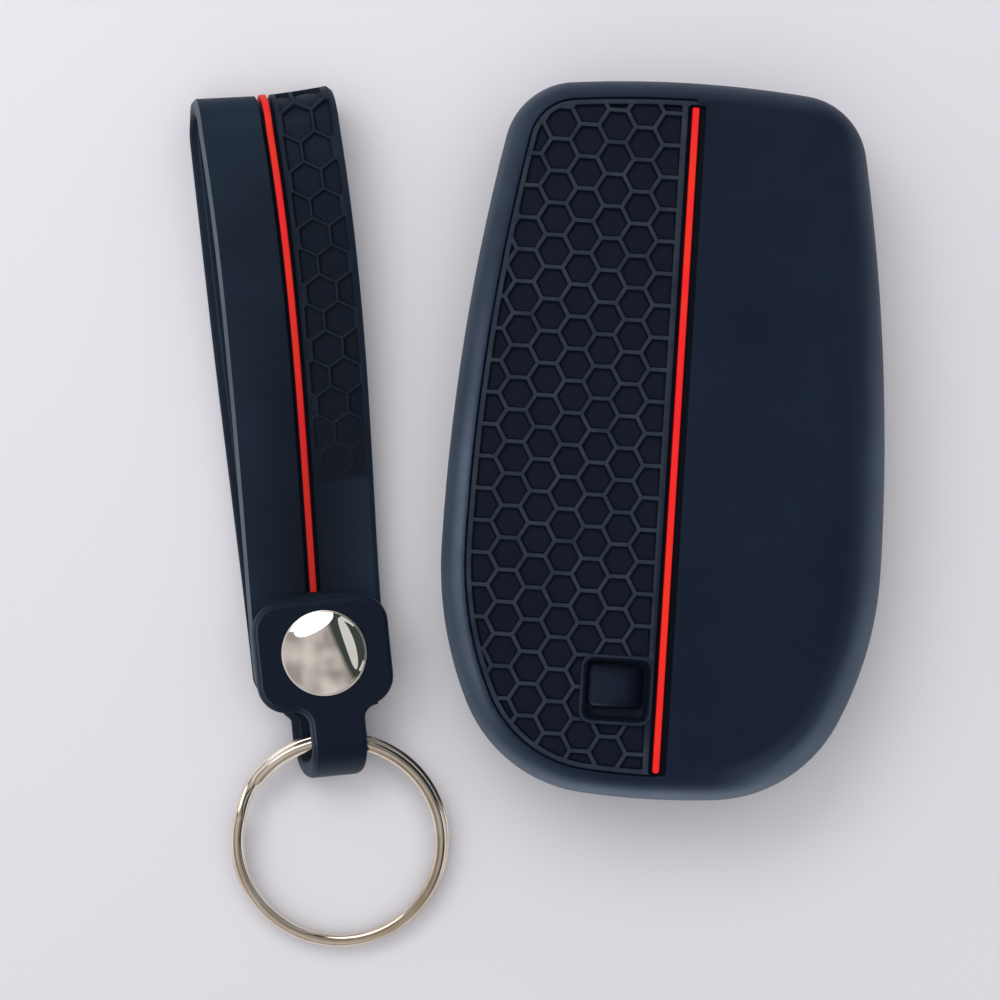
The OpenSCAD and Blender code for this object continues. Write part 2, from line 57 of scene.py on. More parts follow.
MM = 0.001
COVER_L, COVER_W, COVER_H = 79.0, 48.5, 15.5
SIDE_WALL, FRONT_WALL, LIP_T, LIP_W = 1.6, 2.2, 1.4, 4.0
SHOULDER_W, END_SHOULDER_W, SHOULDER_H, BACK_R = 3.4, 2.6, 5.0, 2.4
SLOT_W, SLOT_H, SLOT_R = 20.0, 5.0, 1.25
# Rows of the outline: radius as a share of the width, turn in degrees, steps
OUTLINE_SHARES = ((2.6, 6, 10), (0.165, 73, 26), (5, 11, 14), (0.85, 25, 14), (0.335, 60, 22))
CLOSING_STEPS = 8
LEVEL_STEPS = 12
# Painted sheen: pale colour painted on the shoulders where they turn to the light, at these distances in from
# the edge, for an edge that faces 0, 45, 90 ... degrees round from the right
SHEEN_INSETS = (0, 0.5, 1.0, 1.5, 2.0, 2.5, 3.0, 3.6, 4.4)
SHOULDER_SHEEN = ((0.22, 0.38, 0.38, 0.335, 0.23, 0.15, 0.07, 0.02, 0),
         (0.03, 0.04, 0.04, 0.02, 0, 0, 0, 0, 0),
         (0.15, 0.14, 0.12, 0.09, 0.06, 0.01, 0, 0, 0),
         (0.28, 0.3, 0.17, 0.1, 0.09, 0.07, 0, 0, 0),
         (0.27, 0.31, 0.27, 0.45, 0.62, 0.2, 0.03, 0, 0),
         (0.36, 0.62, 0.34, 0.16, 0.145, 0.07, 0, 0, 0),
         (0.42, 0.9, 0.8, 0.28, 0.05, 0, 0, 0, 0),
         (0.35, 0.52, 0.62, 0.65, 0.52, 0.34, 0.1, 0.02, 0))
# The same for the upper half, where the sides that face right and left have less of it. One goes
# over into the other between these places along the cover.
UPPER_SHEEN = (((0.12, 0.19, 0.17, 0.145, 0.085, 0.05, 0.02, 0, 0),) + SHOULDER_SHEEN[1:4]
               + ((0.27, 0.36, 0.23, 0.2, 0.13, 0.06, 0, 0, 0),) + SHOULDER_SHEEN[5:])
UPPER_FROM, UPPER_TO = -3.0, 20.0
# Lowest level of the side walls that has any of it
SHEEN_FOOT = 3.5
# Points of a mesh are shared when they agree to this many decimals, which is a tenth of a micrometre
POINT_DECIMALS = 4
# Lines this short in an outline are left out
LEAST_LINE = 1e-3
# How the front is cut into triangles: only inside its border, with points this close merged
INSIDE_ONLY, MERGE = 1, 1e-4


def half_outline():
    """Arcs from the middle of the top end, clockwise, to the middle of the bottom end."""
    points, heading = [np.zeros(2)], 0.0
    for radius, turn, steps in OUTLINE_SHARES + ((None, None, CLOSING_STEPS),):
        start = points[-1]
        if radius is None:
            turn = 180 + heading
            radius = start[0] / math.sin(math.radians(turn))
        for i in range(1, steps + 1):
            a, b = math.radians(heading), math.radians(heading - turn * i / steps)
            points.append(start + radius * np.array([math.sin(a) - math.sin(b),
                                                     math.cos(b) - math.cos(a)]))
        heading -= turn
    points = np.array(points)
    points[:, 0] *= COVER_W / 2 / points[:, 0].max()
    points[:, 1] = COVER_L / 2 - points[:, 1] / points[:, 1].min() * COVER_L
    return points


HALF = half_outline()
OUTLINE = np.vstack([HALF, HALF[-2:0:-1] * (-1, 1)])
heading = np.roll(OUTLINE, -1, 0) - np.roll(OUTLINE, 1, 0)
heading /= np.linalg.norm(heading, axis=1)[:, None]
OUTWARD = np.stack([-heading[:, 1], heading[:, 0]], 1)


def drawn_in(side, end):
    """The outline drawn in by side where it faces sideways, and by end where it faces an end."""
    return OUTLINE - OUTWARD * (side * OUTWARD[:, :1] ** 2 + end * OUTWARD[:, 1:] ** 2)


def sheen_at(facing, inset, along):
    """Share of the painted sheen for edges that face those ways, at those distances in from them and
    those places along the cover."""
    turn = np.degrees(np.arctan2(facing[:, 1], facing[:, 0])) % 360 / 45
    k = turn.astype(int) % 8
    share = (turn - np.floor(turn))[:, None]
    upper = np.clip((along - UPPER_FROM) / (UPPER_TO - UPPER_FROM), 0, 1)[:, None]
    rows = sum(w * (np.array(table)[k] * (1 - share) + np.array(table)[(k + 1) % 8] * share)
               for w, table in ((1 - upper, SHOULDER_SHEEN), (upper, UPPER_SHEEN)))
    return np.array([np.interp(i, SHEEN_INSETS, row) for i, row in zip(inset, rows)])


def pillow_levels(low, high, base_r, side, end, rise, wall=0.0):
    """Rings of a rounded pillow as (z, side inset, end inset), from the bottom up."""
    turns = [math.radians(90 * i / LEVEL_STEPS) for i in range(LEVEL_STEPS + 1)]
    flat = [(1 - math.cos(a), 1 - math.sin(a)) for a in turns]
    return ([(low + base_r * c, wall + base_r * s, wall + base_r * s) for c, s in flat]
            + [(high - rise * s, wall + side * c, wall + end * c) for c, s in flat])


def level(z, side, end):
    """The cover's outline drawn in by side and end, at height z."""
    return np.column_stack([drawn_in(side, end), np.full(len(OUTLINE), z)])


class Mould:
    """Collects the points and faces of one piece, with the marks that its colours go by at each point:
    ribs' pale tops (part wear, part painted highlight), painted shade (tarnish lines on metal) and painted
    sheen. A point that is there already is shared."""

    def __init__(self):
        self.points, self.marks, self.index, self.faces = [], [], {}, []

    def add(self, points, rib=0.0, recess=0.0, painted_sheen=0.0):
        marks = [np.broadcast_to(mark, len(points)) for mark in (rib, recess, painted_sheen)]
        found = []
        for p, *mark in zip(points, *marks):
            key = tuple(round(float(c), POINT_DECIMALS) for c in p)
            if key not in self.index:
                self.index[key] = len(self.points)
                self.points.append(key)
                self.marks.append([float(m) for m in mark])
            found.append(self.index[key])
        return found

    def face(self, corners):
        ring = [c for i, c in enumerate(corners) if c != corners[i - 1]]
        if len(set(ring)) == len(ring) > 2:
            self.faces.append(ring)

    def wall(self, lower, upper, closed=True):
        """Quads between two rings or two lines with as many points."""
        for i in range(len(lower) - (not closed)):
            j = (i + 1) % len(lower)
            self.face([lower[i], lower[j], upper[j], upper[i]])

    def tube(self, rings, capped=True):
        """Walls from each ring to the next, and a face over the first and the last."""
        for lower, upper in zip(rings, rings[1:]):
            self.wall(lower, upper)
        if capped:
            self.face(rings[0][::-1])
            self.face(rings[-1])

    def sheet(self, corners, triangles):
        """Triangles over points of the piece."""
        for t in triangles:
            self.face([corners[k] for k in t])

    def mesh(self, name):
        mesh = bpy.data.meshes.new(name)
        mesh.from_pydata([[c * MM for c in p] for p in self.points], [], self.faces)
        work = bmesh.new()
        work.from_mesh(mesh)
        bmesh.ops.recalc_face_normals(work, faces=work.faces)
        work.to_mesh(mesh)
        work.free()
        for k, label in enumerate(("rib", "recess", "painted_sheen")):
            values = mesh.attributes.new(label, "FLOAT", "POINT").data
            values.foreach_set("value", [m[k] for m in self.marks])
        return mesh


def in_scene(name, data):
    """A new object in the scene, with that mesh, lamp or camera."""
    made = bpy.data.objects.new(name, data)
    bpy.context.scene.collection.objects.link(made)
    return made


def smoothed(piece, sharp_turn):
    """Smooth shading with crisp edges over sharp_turn degrees, and flat faces kept flat."""
    piece.data.shade_smooth()
    piece.data.set_sharp_from_angle(angle=math.radians(sharp_turn))
    normals = piece.modifiers.new("flat_faces", "WEIGHTED_NORMAL")
    normals.keep_sharp = True
    return piece


def placed(name, mesh, material, body, replaced=(), sharp_turn=40):
    """A finished piece: its material, the body that it rides on and the CAD nodes it stands for."""
    piece = in_scene(name, mesh)
    piece.data.materials.append(material)
    smoothed(piece, sharp_turn)
    if body:
        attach(piece, body)
    if replaced:
        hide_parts(*replaced)
    return piece


def trimmed(poly, normal, limit):
    """The part of a convex outline whose points lie up to limit along normal."""
    kept = []
    for i, p in enumerate(poly):
        q = poly[(i + 1) % len(poly)]
        a, b = p @ normal - limit, q @ normal - limit
        if a <= 0:
            kept.append(p)
        if a < 0 < b or b < 0 < a:
            kept.append(p + (q - p) * (a / (a - b)))
    return kept


def edge_lines(poly):
    """Outward normals and limits of a convex outline that runs counter-clockwise."""
    poly = np.asarray(poly)
    run = np.roll(poly, -1, 0) - poly
    run = run / np.linalg.norm(run, axis=1)[:, None]
    normals = np.stack([run[:, 1], -run[:, 0]], 1)
    return normals, np.einsum("ij,ij->i", poly, normals)


def without_short_lines(poly):
    return [p for i, p in enumerate(poly) if np.linalg.norm(p - poly[i - 1]) > LEAST_LINE]


def inward(poly, distance):
    """A convex outline drawn in by the same distance everywhere."""
    kept = [np.asarray(p, float) for p in poly]
    for normal, limit in zip(*edge_lines(poly)):
        kept = trimmed(kept, normal, limit - distance)
        if len(kept) < 3:
            return []
    kept = without_short_lines(kept)
    return kept if len(kept) > 2 else []


def depth_inside(points, poly):
    """How far each point lies inside a convex outline; less than zero outside."""
    normals, limits = edge_lines(poly)
    return (limits - points @ normals.T).min(1)


def arc(centre, radius, first, turn, steps):
    """Points of an arc that starts at the angle first and goes round by turn, both in degrees."""
    angles = np.radians(first + turn * np.arange(steps + 1) / steps)
    return [np.array([centre[0] + radius * math.cos(a), centre[1] + radius * math.sin(a)]) for a in angles]


def rounded_corners(poly, radius, step=12):
    """A convex outline with its corners rounded."""
    small = inward(poly, radius)
    normals, _ = edge_lines(small)
    angles = np.degrees(np.arctan2(normals[:, 1], normals[:, 0]))
    made = []
    for i, p in enumerate(small):
        turn = (angles[i] - angles[i - 1]) % 360
        made += arc(p, radius, angles[i - 1], turn, max(1, math.ceil(turn / step)))
    return without_short_lines(made)


def rounded_box(centre, width, length, radius, steps=8):
    """A round-cornered rectangle, counter-clockwise, with the same number of points for any size."""
    made = []
    for k, (sx, sy) in enumerate(((1, 1), (-1, 1), (-1, -1), (1, -1))):
        corner = (centre[0] + sx * (width / 2 - radius), centre[1] + sy * (length / 2 - radius))
        made += arc(corner, radius, 90 * k, 90, steps)
    return made


def hexagon(centre, radius, first):
    """A cell's outline, counter-clockwise, with its first corner at that angle in degrees."""
    return arc(centre, radius, first, 300, 5)


def relief_sheet(border, curves, lines=()):
    """Points and triangles that fill a border and follow every curve and line inside it."""
    points, edges = [], []
    for loop in [border] + list(curves):
        start = len(points)
        points += [Vector((float(p[0]), float(p[1]))) for p in loop]
        edges += [(start + i, start + (i + 1) % len(loop)) for i in range(len(loop))]
    for a, b in lines:
        start = len(points)
        points += [Vector((float(a[0]), float(a[1]))), Vector((float(b[0]), float(b[1])))]
        edges.append((start, start + 1))
    made = delaunay_2d_cdt(points, edges, [list(range(len(border)))], INSIDE_ONLY, MERGE)
    return np.array([[p.x, p.y] for p in made[0]]), [list(f) for f in made[2]]


def around(flat, triangles, hole):
    """Those of the triangles that lie outside a convex hole."""
    middles = np.array([flat[t].mean(0) for t in triangles])
    return [t for t, inside in zip(triangles, depth_inside(middles, hole)) if inside < 0]


def contours(outline, profile):
    """A convex outline drawn in by each distance of a profile, as far as any of it is left."""
    return [c for c in (inward(outline, distance) for distance, _ in profile) if c]


def sunk(inset, profile):
    """Depth of a recess at that distance in from its edge, by a table of (distance, depth)."""
    return np.interp(inset, [row[0] for row in profile], [row[1] for row in profile])


def sunk_cells(points, cells, profile, shading):
    """Depth and darkness at each point of a sheet with cells, given as (outline, share of full depth)."""
    depth, shade = np.zeros(len(points)), np.zeros(len(points))
    for cell, share in cells:
        near = np.all((points >= np.min(cell, 0) - NEAR) & (points <= np.max(cell, 0) + NEAR), axis=1)
        inset = depth_inside(points[near], cell)
        depth[near] = np.maximum(depth[near], share * sunk(inset, profile))
        shade[near] = np.maximum(shade[near], share * sunk(inset, shading))
    return depth, shade


CELL_PITCH, RIB_W, CELL_DEPTH, BORDER_W, CREASE_W = 3.486, 0.3, 0.55, 0.4, 0.3
PANEL_SIDE, PANEL_END, PANEL_LIFT, PANEL_R, LEAST_CELL = 2.6, 2.6, 0.25, 0.3, 0.15
GROOVE_X, GROOVE_W, GROOVE_D, GROOVE_R, GROOVE_SPARE, RIGHT_RIB_W = 0.7, 2.1, 0.8, 0.5, 0.7, 0.52
STRIPE_X, STRIPE_W, STRIPE_L = GROOVE_X - 0.15, 0.74, 72.4
FRAME_AT, FRAME_W, FRAME_L, FRAME_R = np.array([-4.25, -27.4]), 8.1, 7.7, 1.5
WELL_D, PAD_W, PAD_L, PAD_GAP, PAD_R, FLANGE_W, RELIEF_D = 1.2, 5.9, 4.6, 0.15, 0.8, 0.6, 0.6
BUTTON_AT = FRAME_AT + (0, 0.35)
CELL_COLUMN = CELL_PITCH * math.sqrt(3) / 2
CELL_R = (CELL_PITCH - RIB_W) / math.sqrt(3)
CELL_SHIFT = np.array([-0.2 * CELL_COLUMN, 0.03 * CELL_PITCH])
# Columns and rows of cells, counted from the frame, that reach over the whole panel
CELL_COLUMNS, CELL_ROWS = range(-9, 3), range(-13, 23)
# Distance in from the edge, and depth or painted shade there
CELL_PROFILE = ((0, 0), (0.05, 0.03), (0.09, 0.12), (0.13, 0.44), (0.26, 0.55), (0.36, 0.55))
CELL_SHADE = ((0, 0), (0.05, 0.1), (0.09, 0.5), (0.13, 1), (0.26, 1), (0.36, 0.55))
CREASE_PROFILE = ((0, 0), (0.05, 0.06), (0.1, 0.4), (0.15, 0.5))
GROOVE_PROFILE = ((0, 0), (0.05, 0.03), (0.1, 0.14), (0.15, 0.7), (0.25, 0.8))
FRAME_PROFILE = ((0, -0.55), (0.03, -0.15), (0.08, 0.15), (0.16, 0.3), (0.26, 0.33), (0.36, 0.26),
                 (0.5, 0.02), (0.68, -0.5), (0.82, -0.95), (0.93, -1.2))
# The frame's outer slope merges with the relief, its crest is paler the higher it stands (part wear, part
# painted highlight), and its inner slope has painted shade that darkens towards its foot
FRAME_SLOPE_W, FRAME_TOP_W, FRAME_WEAR_AND_HIGHLIGHT, FRAME_HIGH = 0.1, 0.2, 0.75, 0.3
FRAME_DARK, FRAME_DARK_D = 0.9, 0.4
# Depth over which the ribs' pale colour, part wear and part painted highlight, ends
WEAR_AND_HIGHLIGHT_D = 0.1
# Tolerance of a place on an edge, the reach round a cell, and an inset that only cleans an outline
ON_EDGE, NEAR, HAIR = 0.001, 0.01, 1e-5
# A plain edge loop at the right, so that no long thin triangles cross the painted sheen on the smooth panel
SMOOTH_INSET = 4.6


def panel_area(inset, right):
    """The honeycomb panel's outline, drawn in by inset, up to x = right."""
    whole = list(drawn_in(PANEL_SIDE + inset, PANEL_END + inset)[::-1] + (0, PANEL_LIFT))
    return rounded_corners(trimmed(whole, np.array([1.0, 0.0]), right), PANEL_R)


panel_crease = [panel_area(inset, GROOVE_X) for inset, _ in CREASE_PROFILE[:-1]]
panel_ribs = [panel_area(CREASE_W - inset, GROOVE_X) for inset, _ in CREASE_PROFILE[-2::-1]]
cell_area = panel_area(CREASE_W + BORDER_W, GROOVE_X - GROOVE_W / 2 - RIGHT_RIB_W)
groove_outline = rounded_box((GROOVE_X, 0), GROOVE_W, STRIPE_L + GROOVE_SPARE, GROOVE_R, 4)
frame_outline = rounded_box(FRAME_AT, FRAME_W, FRAME_L, FRAME_R)
pad_hole = rounded_box(BUTTON_AT, PAD_W + 2 * PAD_GAP, PAD_L + 2 * PAD_GAP, PAD_R + PAD_GAP)

cover_cells = []
for i in CELL_COLUMNS:
    for j in CELL_ROWS:
        place = np.array([i * CELL_COLUMN, (j + (i % 2) / 2) * CELL_PITCH])
        cell = hexagon(FRAME_AT + CELL_SHIFT + place, CELL_R, 0)
        for normal, limit in zip(*edge_lines(cell_area)):
            cell = trimmed(cell, normal, limit)
            if len(cell) < 3:
                break
        if len(cell) > 2 and inward(cell, LEAST_CELL):
            cover_cells.append(inward(cell, HAIR))


def shoulder_at(points):
    """How far the rounded shoulder lies below the plain level of the front, and its share of painted sheen.
    """
    inset, distance = np.full(len(points), np.inf), np.zeros(len(points))
    facing = np.zeros((len(points), 2))
    for a, b, n, m in zip(OUTLINE, np.roll(OUTLINE, -1, 0), OUTWARD, np.roll(OUTWARD, -1, 0)):
        along = np.clip((points - a) @ (b - a) / ((b - a) @ (b - a)), 0, 1)[:, None]
        out = n + (m - n) * along
        far = np.linalg.norm(points - a - (b - a) * along, axis=1)
        share = far / (SHOULDER_W * out[:, 0] ** 2 + END_SHOULDER_W * out[:, 1] ** 2)
        nearer = share < inset
        inset[nearer], distance[nearer], facing[nearer] = share[nearer], far[nearer], out[nearer]
    drop = SHOULDER_H * (1 - np.sqrt(1 - np.clip(1 - inset, 0, 1) ** 2))
    for z, side, end in front_levels:
        for x, y in drawn_in(side, end):
            drop[np.abs(points - (x, y)).max(1) < ON_EDGE] = COVER_H - z
    return drop, sheen_at(facing, distance, points[:, 1])


def front_height(points):
    """Height of the front face above its plain level at each point, and its marks."""
    in_panel, in_ribs = depth_inside(points, panel_crease[0]), depth_inside(points, panel_ribs[-1])
    crease = sunk(np.minimum(in_panel, -in_ribs), CREASE_PROFILE)
    # Painted shade in the cells, the crease, the frame's well and the groove, by depth
    depth, shade = sunk_cells(points, [(cell, 1) for cell in cover_cells], CELL_PROFILE, CELL_SHADE)
    depth, shade = np.maximum(depth, crease), np.maximum(shade, crease / CELL_DEPTH)
    # Pale rib tops and frame crest: part wear, part painted highlight
    rib = (in_ribs > -ON_EDGE) * np.clip(1 - depth / WEAR_AND_HIGHLIGHT_D, 0, 1)
    drop, painted_sheen = shoulder_at(points)
    height = -drop - depth * (1 - drop / CELL_DEPTH)
    framed = depth_inside(points, frame_outline)
    rim = sunk(framed, FRAME_PROFILE)
    height = np.where(framed > 0, np.where(framed < FRAME_SLOPE_W, np.maximum(height, rim), rim), height)
    rib = np.where(framed > 0, FRAME_WEAR_AND_HIGHLIGHT * np.clip(height / FRAME_HIGH, 0, 1), rib)
    shade = np.where(framed > FRAME_TOP_W, np.clip(FRAME_DARK - height / FRAME_DARK_D, 0, 1), shade)
    in_groove = sunk(depth_inside(points, groove_outline), GROOVE_PROFILE)
    plain = in_groove < NEAR
    height = np.minimum(height, np.where(in_groove > 0, -in_groove, height))
    shade = np.clip(np.maximum(shade, in_groove / CELL_DEPTH), 0, 1)
    return height, rib * plain, shade, painted_sheen * (plain & (in_panel <= 0))


# The last levels of the shoulder belong to the front face, because the panel reaches over them
FRONT_LEVELS = 4
LIP_ROUND, LIP_CHAMFER = 0.3, 0.1
shell_levels = pillow_levels(0, COVER_H, BACK_R, SHOULDER_W, END_SHOULDER_W, SHOULDER_H)
shell_levels.insert(LEVEL_STEPS + 1, (SHEEN_FOOT, 0, 0))
front_levels = shell_levels[-FRONT_LEVELS:]
shell = Mould()
rings = []
for k, (z, side, end) in enumerate(shell_levels[:1 - FRONT_LEVELS]):
    # Painted sheen on the side walls, from the sheen's foot up
    sheened = k > LEVEL_STEPS + 1
    sheen = sheen_at(OUTWARD, (OUTWARD ** 2) @ (side, end), OUTLINE[:, 1]) if sheened else 0
    rings.append(shell.add(level(z, side, end), painted_sheen=sheen))
lip_in = SIDE_WALL + LIP_W
lip = [(lip_in - LIP_ROUND, 0), (lip_in - LIP_CHAMFER, LIP_CHAMFER), (lip_in, LIP_ROUND),
       (lip_in, LIP_T - LIP_ROUND), (lip_in - LIP_CHAMFER, LIP_T - LIP_CHAMFER), (lip_in - LIP_ROUND, LIP_T)]
inner = [shell.add(level(z, inset, inset)) for inset, z in lip]
seat_z = COVER_H - FRONT_WALL
cavity = [shell.add(level(*row)) for row in pillow_levels(
    LIP_T, seat_z, BACK_R / 2, SHOULDER_W - SIDE_WALL, END_SHOULDER_W - SIDE_WALL / 2,
    SHOULDER_H - FRONT_WALL, SIDE_WALL)]
shell.tube(rings, False)
shell.tube([rings[0]] + inner + cavity, False)

# The front face
curves = panel_crease + panel_ribs + [pad_hole]
for cell in cover_cells:
    curves += contours(cell, CELL_PROFILE)
curves += contours(groove_outline, GROOVE_PROFILE) + contours(frame_outline, FRAME_PROFILE)
front_border, *front_rings = [drawn_in(side, end)[::-1] for _, side, end in front_levels]
smooth_side = trimmed(list(drawn_in(SMOOTH_INSET, SMOOTH_INSET)[::-1]), np.array([-1.0, 0.0]),
                      -GROOVE_X - GROOVE_W)
flat, triangles = relief_sheet(front_border, curves + front_rings + [smooth_side])
height, *marks = front_height(flat)
top = shell.add(np.column_stack([flat, COVER_H + height]), *marks)
shell.sheet(top, around(flat, triangles, pad_hole))

# The hole for the pad, and the pocket under it that holds the pad's flange
ledge_z = seat_z + RELIEF_D
pocket = rounded_box(BUTTON_AT, PAD_W + 2 * (FLANGE_W + PAD_GAP), PAD_L + 2 * (FLANGE_W + PAD_GAP),
                     PAD_R + FLANGE_W)
# The well's walls and the pocket under it carry full painted shade
shell.tube([shell.add([(x, y, z) for x, y in loop], recess=1) for loop, z in (
    (pad_hole, COVER_H - WELL_D), (pad_hole, ledge_z), (pocket, ledge_z), (pocket, seat_z))], False)
ceiling_border = drawn_in(SHOULDER_W, END_SHOULDER_W + SIDE_WALL / 2)[::-1]
flat, triangles = relief_sheet(ceiling_border, [pocket])
ceiling = shell.add([(x, y, seat_z) for x, y in flat])
shell.sheet(ceiling, around(flat, triangles, pocket))


def drawn_out(outline, low, high):
    """A closed mesh of an outline in the front view, drawn out along Y."""
    block = Mould()
    block.tube([block.add([(x, y, z) for x, z in outline]) for y in (low, high)])
    return block.mesh("cutter")


def feed(tree, socket, setting):
    """Links an output to the socket, or sets the socket's own value. A colour is given without alpha."""
    if isinstance(setting, bpy.types.NodeSocket):
        tree.links.new(setting, socket)
    else:
        socket.default_value = setting + (1,) if isinstance(setting, tuple) else setting


def new_group(name, inputs):
    """A finish group with these inputs at their values. Gives the group, its inputs and its outputs:
    a colour, a roughness and a height for the bump."""
    group = bpy.data.node_groups.new(name, "ShaderNodeTree")
    for label, value in inputs.items():
        kind = "NodeSocketColor" if isinstance(value, tuple) else "NodeSocketFloat"
        feed(group, group.interface.new_socket(label, in_out="INPUT", socket_type=kind), value)
    for label, kind in (("Colour", "Color"), ("Roughness", "Float"), ("Height", "Float")):
        group.interface.new_socket(label, in_out="OUTPUT", socket_type="NodeSocket" + kind)
    return group, group.nodes.new("NodeGroupInput").outputs, group.nodes.new("NodeGroupOutput").inputs


def place_in(tree, kind="Object"):
    return tree.nodes.new("ShaderNodeTexCoord").outputs[kind]


def noise(tree, place, scale, detail=3.0, roughness=0.55):
    node = tree.nodes.new("ShaderNodeTexNoise")
    for label, setting in (("Vector", place), ("Scale", scale), ("Detail", detail), ("Roughness", roughness)):
        feed(tree, node.inputs[label], setting)
    return node.outputs["Fac"]


def ranged(tree, value, low, high, to_low=0.0, to_high=1.0):
    """The value, with the range from low to high brought to the range from to_low to to_high."""
    node = tree.nodes.new("ShaderNodeMapRange")
    for socket, setting in zip(node.inputs, (value, low, high, to_low, to_high)):
        feed(tree, socket, setting)
    return node.outputs[0]


def reckoned(tree, operation, a, b):
    node = tree.nodes.new("ShaderNodeMath")
    node.operation = operation
    for socket, setting in zip(node.inputs, (a, b)):
        feed(tree, socket, setting)
    return node.outputs[0]


def blended(tree, share, a, b):
    """Colour a with that share of colour b."""
    node = tree.nodes.new("ShaderNodeMix")
    node.data_type = "RGBA"
    for socket, setting in ((node.inputs["Factor"], share), (node.inputs[6], a), (node.inputs[7], b)):
        feed(tree, socket, setting)
    return node.outputs[2]


def mark(tree, label):
    """The mesh's own mark of that name."""
    node = tree.nodes.new("ShaderNodeAttribute")
    node.attribute_name = label
    return node.outputs["Fac"]


BLACK = (0, 0, 0)
DUST_GREY = (0.09, 0.1, 0.12)


def silicone_skin():
    """Moulded silicone: mottled colour, pale rib tops that are part wear and part painted highlight, painted
    shade in floors and recesses, a painted sheen, dust, a fine grain and its sheen.
    """
    group, given, out = new_group("silicone_skin", {
        "Colour": BLACK, "Rib colour": BLACK, "Mottle and shade colour": BLACK, "Painted sheen colour": BLACK,
        "Dust": 0.3, "Roughness": 0.5})
    place = place_in(group)
    floor = given["Mottle and shade colour"]
    mottle = reckoned(group, "MULTIPLY", ranged(group, noise(group, place, 90, 4), 0.35, 0.65), 0.35)
    colour = blended(group, mottle, given["Colour"], floor)
    # Painted sheen, clouded by noise
    cloudy = ranged(group, noise(group, place, 130, 4), 0.3, 0.7, 0.78, 1.15)
    colour = blended(group, reckoned(group, "MULTIPLY", mark(group, "painted_sheen"), cloudy), colour,
                     given["Painted sheen colour"])
    # Painted shade where the recess mark is set
    colour = blended(group, mark(group, "recess"), colour, floor)
    # Pale rib tops: part wear, part painted highlight
    rib_wear_and_highlight = ranged(group, noise(group, place, 420, 3), 0.3, 0.65, 0.45, 1.0)
    colour = blended(group, reckoned(group, "MULTIPLY", mark(group, "rib"), rib_wear_and_highlight), colour,
                     given["Rib colour"])
    specks = ranged(group, noise(group, place, 2600, 2, 0.7), 0.7, 0.78)
    patches = ranged(group, noise(group, place, 160, 3), 0.5, 0.75)
    dust = reckoned(group, "MULTIPLY", reckoned(group, "MULTIPLY", specks, patches), given["Dust"])
    feed(group, out["Colour"], blended(group, dust, colour, DUST_GREY))
    uneven = ranged(group, noise(group, place, 260, 3), 0.3, 0.7, -0.05, 0.06)
    feed(group, out["Roughness"], reckoned(group, "ADD", given["Roughness"], uneven))
    coarse = reckoned(group, "MULTIPLY", noise(group, place, 900, 3), 1.4)
    feed(group, out["Height"], reckoned(group, "ADD", noise(group, place, 5200, 2), coarse))
    return group


SKIN = silicone_skin()


def plain_principled(name, metallic=0.0, ior=1.45, specular=0.5):
    """A new material with its Principled shader, whose constants sit on its own sockets."""
    material = bpy.data.materials.new(name)
    material.use_nodes = True
    shader = material.node_tree.nodes["Principled BSDF"]
    shader.inputs["Metallic"].default_value = metallic
    shader.inputs["IOR"].default_value = ior
    shader.inputs["Specular IOR Level"].default_value = specular
    return material, material.node_tree, shader


def dressed(tree, shader, group, settings, bump_depth):
    """Puts a finish group before the shader: colour, roughness and a bump of that depth in metres."""
    skin = tree.nodes.new("ShaderNodeGroup")
    skin.node_tree = group
    for label, value in settings.items():
        feed(tree, skin.inputs[label], value)
    bump = tree.nodes.new("ShaderNodeBump")
    bump.inputs["Strength"].default_value = 1.0
    bump.inputs["Distance"].default_value = bump_depth
    for label, source in (("Base Color", skin.outputs["Colour"]), ("Roughness", skin.outputs["Roughness"]),
                          ("Normal", bump.outputs["Normal"])):
        tree.links.new(source, shader.inputs[label])
    tree.links.new(skin.outputs["Height"], bump.inputs["Height"])


GRAIN_DEPTH = 0.000006
SHEEN = {"Sheen Weight": 0.05, "Sheen Roughness": 0.4, "Sheen Tint": (0.55, 0.7, 1.0)}


def silicone(name, colour, rib, floor, painted_sheen):
    """Dark silicone, by its plain colour and those of its ribs' pale tops (part wear, part painted
    highlight), its mottle and painted shade, and its painted sheen.
    """
    material, tree, shader = plain_principled(name, ior=1.41, specular=0.15)
    for label, value in SHEEN.items():
        feed(tree, shader.inputs[label], value)
    dressed(tree, shader, SKIN, {"Colour": colour, "Rib colour": rib, "Mottle and shade colour": floor,
                                 "Painted sheen colour": painted_sheen, "Dust": 0.5, "Roughness": 0.52}, GRAIN_DEPTH)
    return material


# Plain and rib colours, then the mottle and painted shade colour, then the painted sheen colour
NAVY = silicone("navy_silicone", (0.0053, 0.0132, 0.0335), (0.0275, 0.038, 0.0545),
                (0.001, 0.003, 0.0105), (0.17, 0.22, 0.292))

cover = placed("cover_shell_skin", shell.mesh("cover_shell_skin"), NAVY, "cover",
               ["cover_shell"])
SLOT_INWARD, SLOT_OUTWARD = 5, 2
slot_z = LIP_T + (seat_z - LIP_T) / 2
slot_cutter = in_scene("slot_cutter", drawn_out(rounded_box((0, slot_z), SLOT_W, SLOT_H, SLOT_R),
                                                COVER_L / 2 - SLOT_INWARD, COVER_L / 2 + SLOT_OUTWARD))
cut = cover.modifiers.new("end_slot", "BOOLEAN")
cut.operation, cut.solver, cut.object = "DIFFERENCE", "EXACT", slot_cutter
cover.modifiers.move(1, 0)
with_slot = bpy.data.meshes.new_from_object(cover.evaluated_get(bpy.context.evaluated_depsgraph_get()))
cover.modifiers.clear()
cover.data = with_slot
cover.data.name = "cover_shell_skin"
smoothed(cover, 40)
bpy.data.objects.remove(slot_cutter)

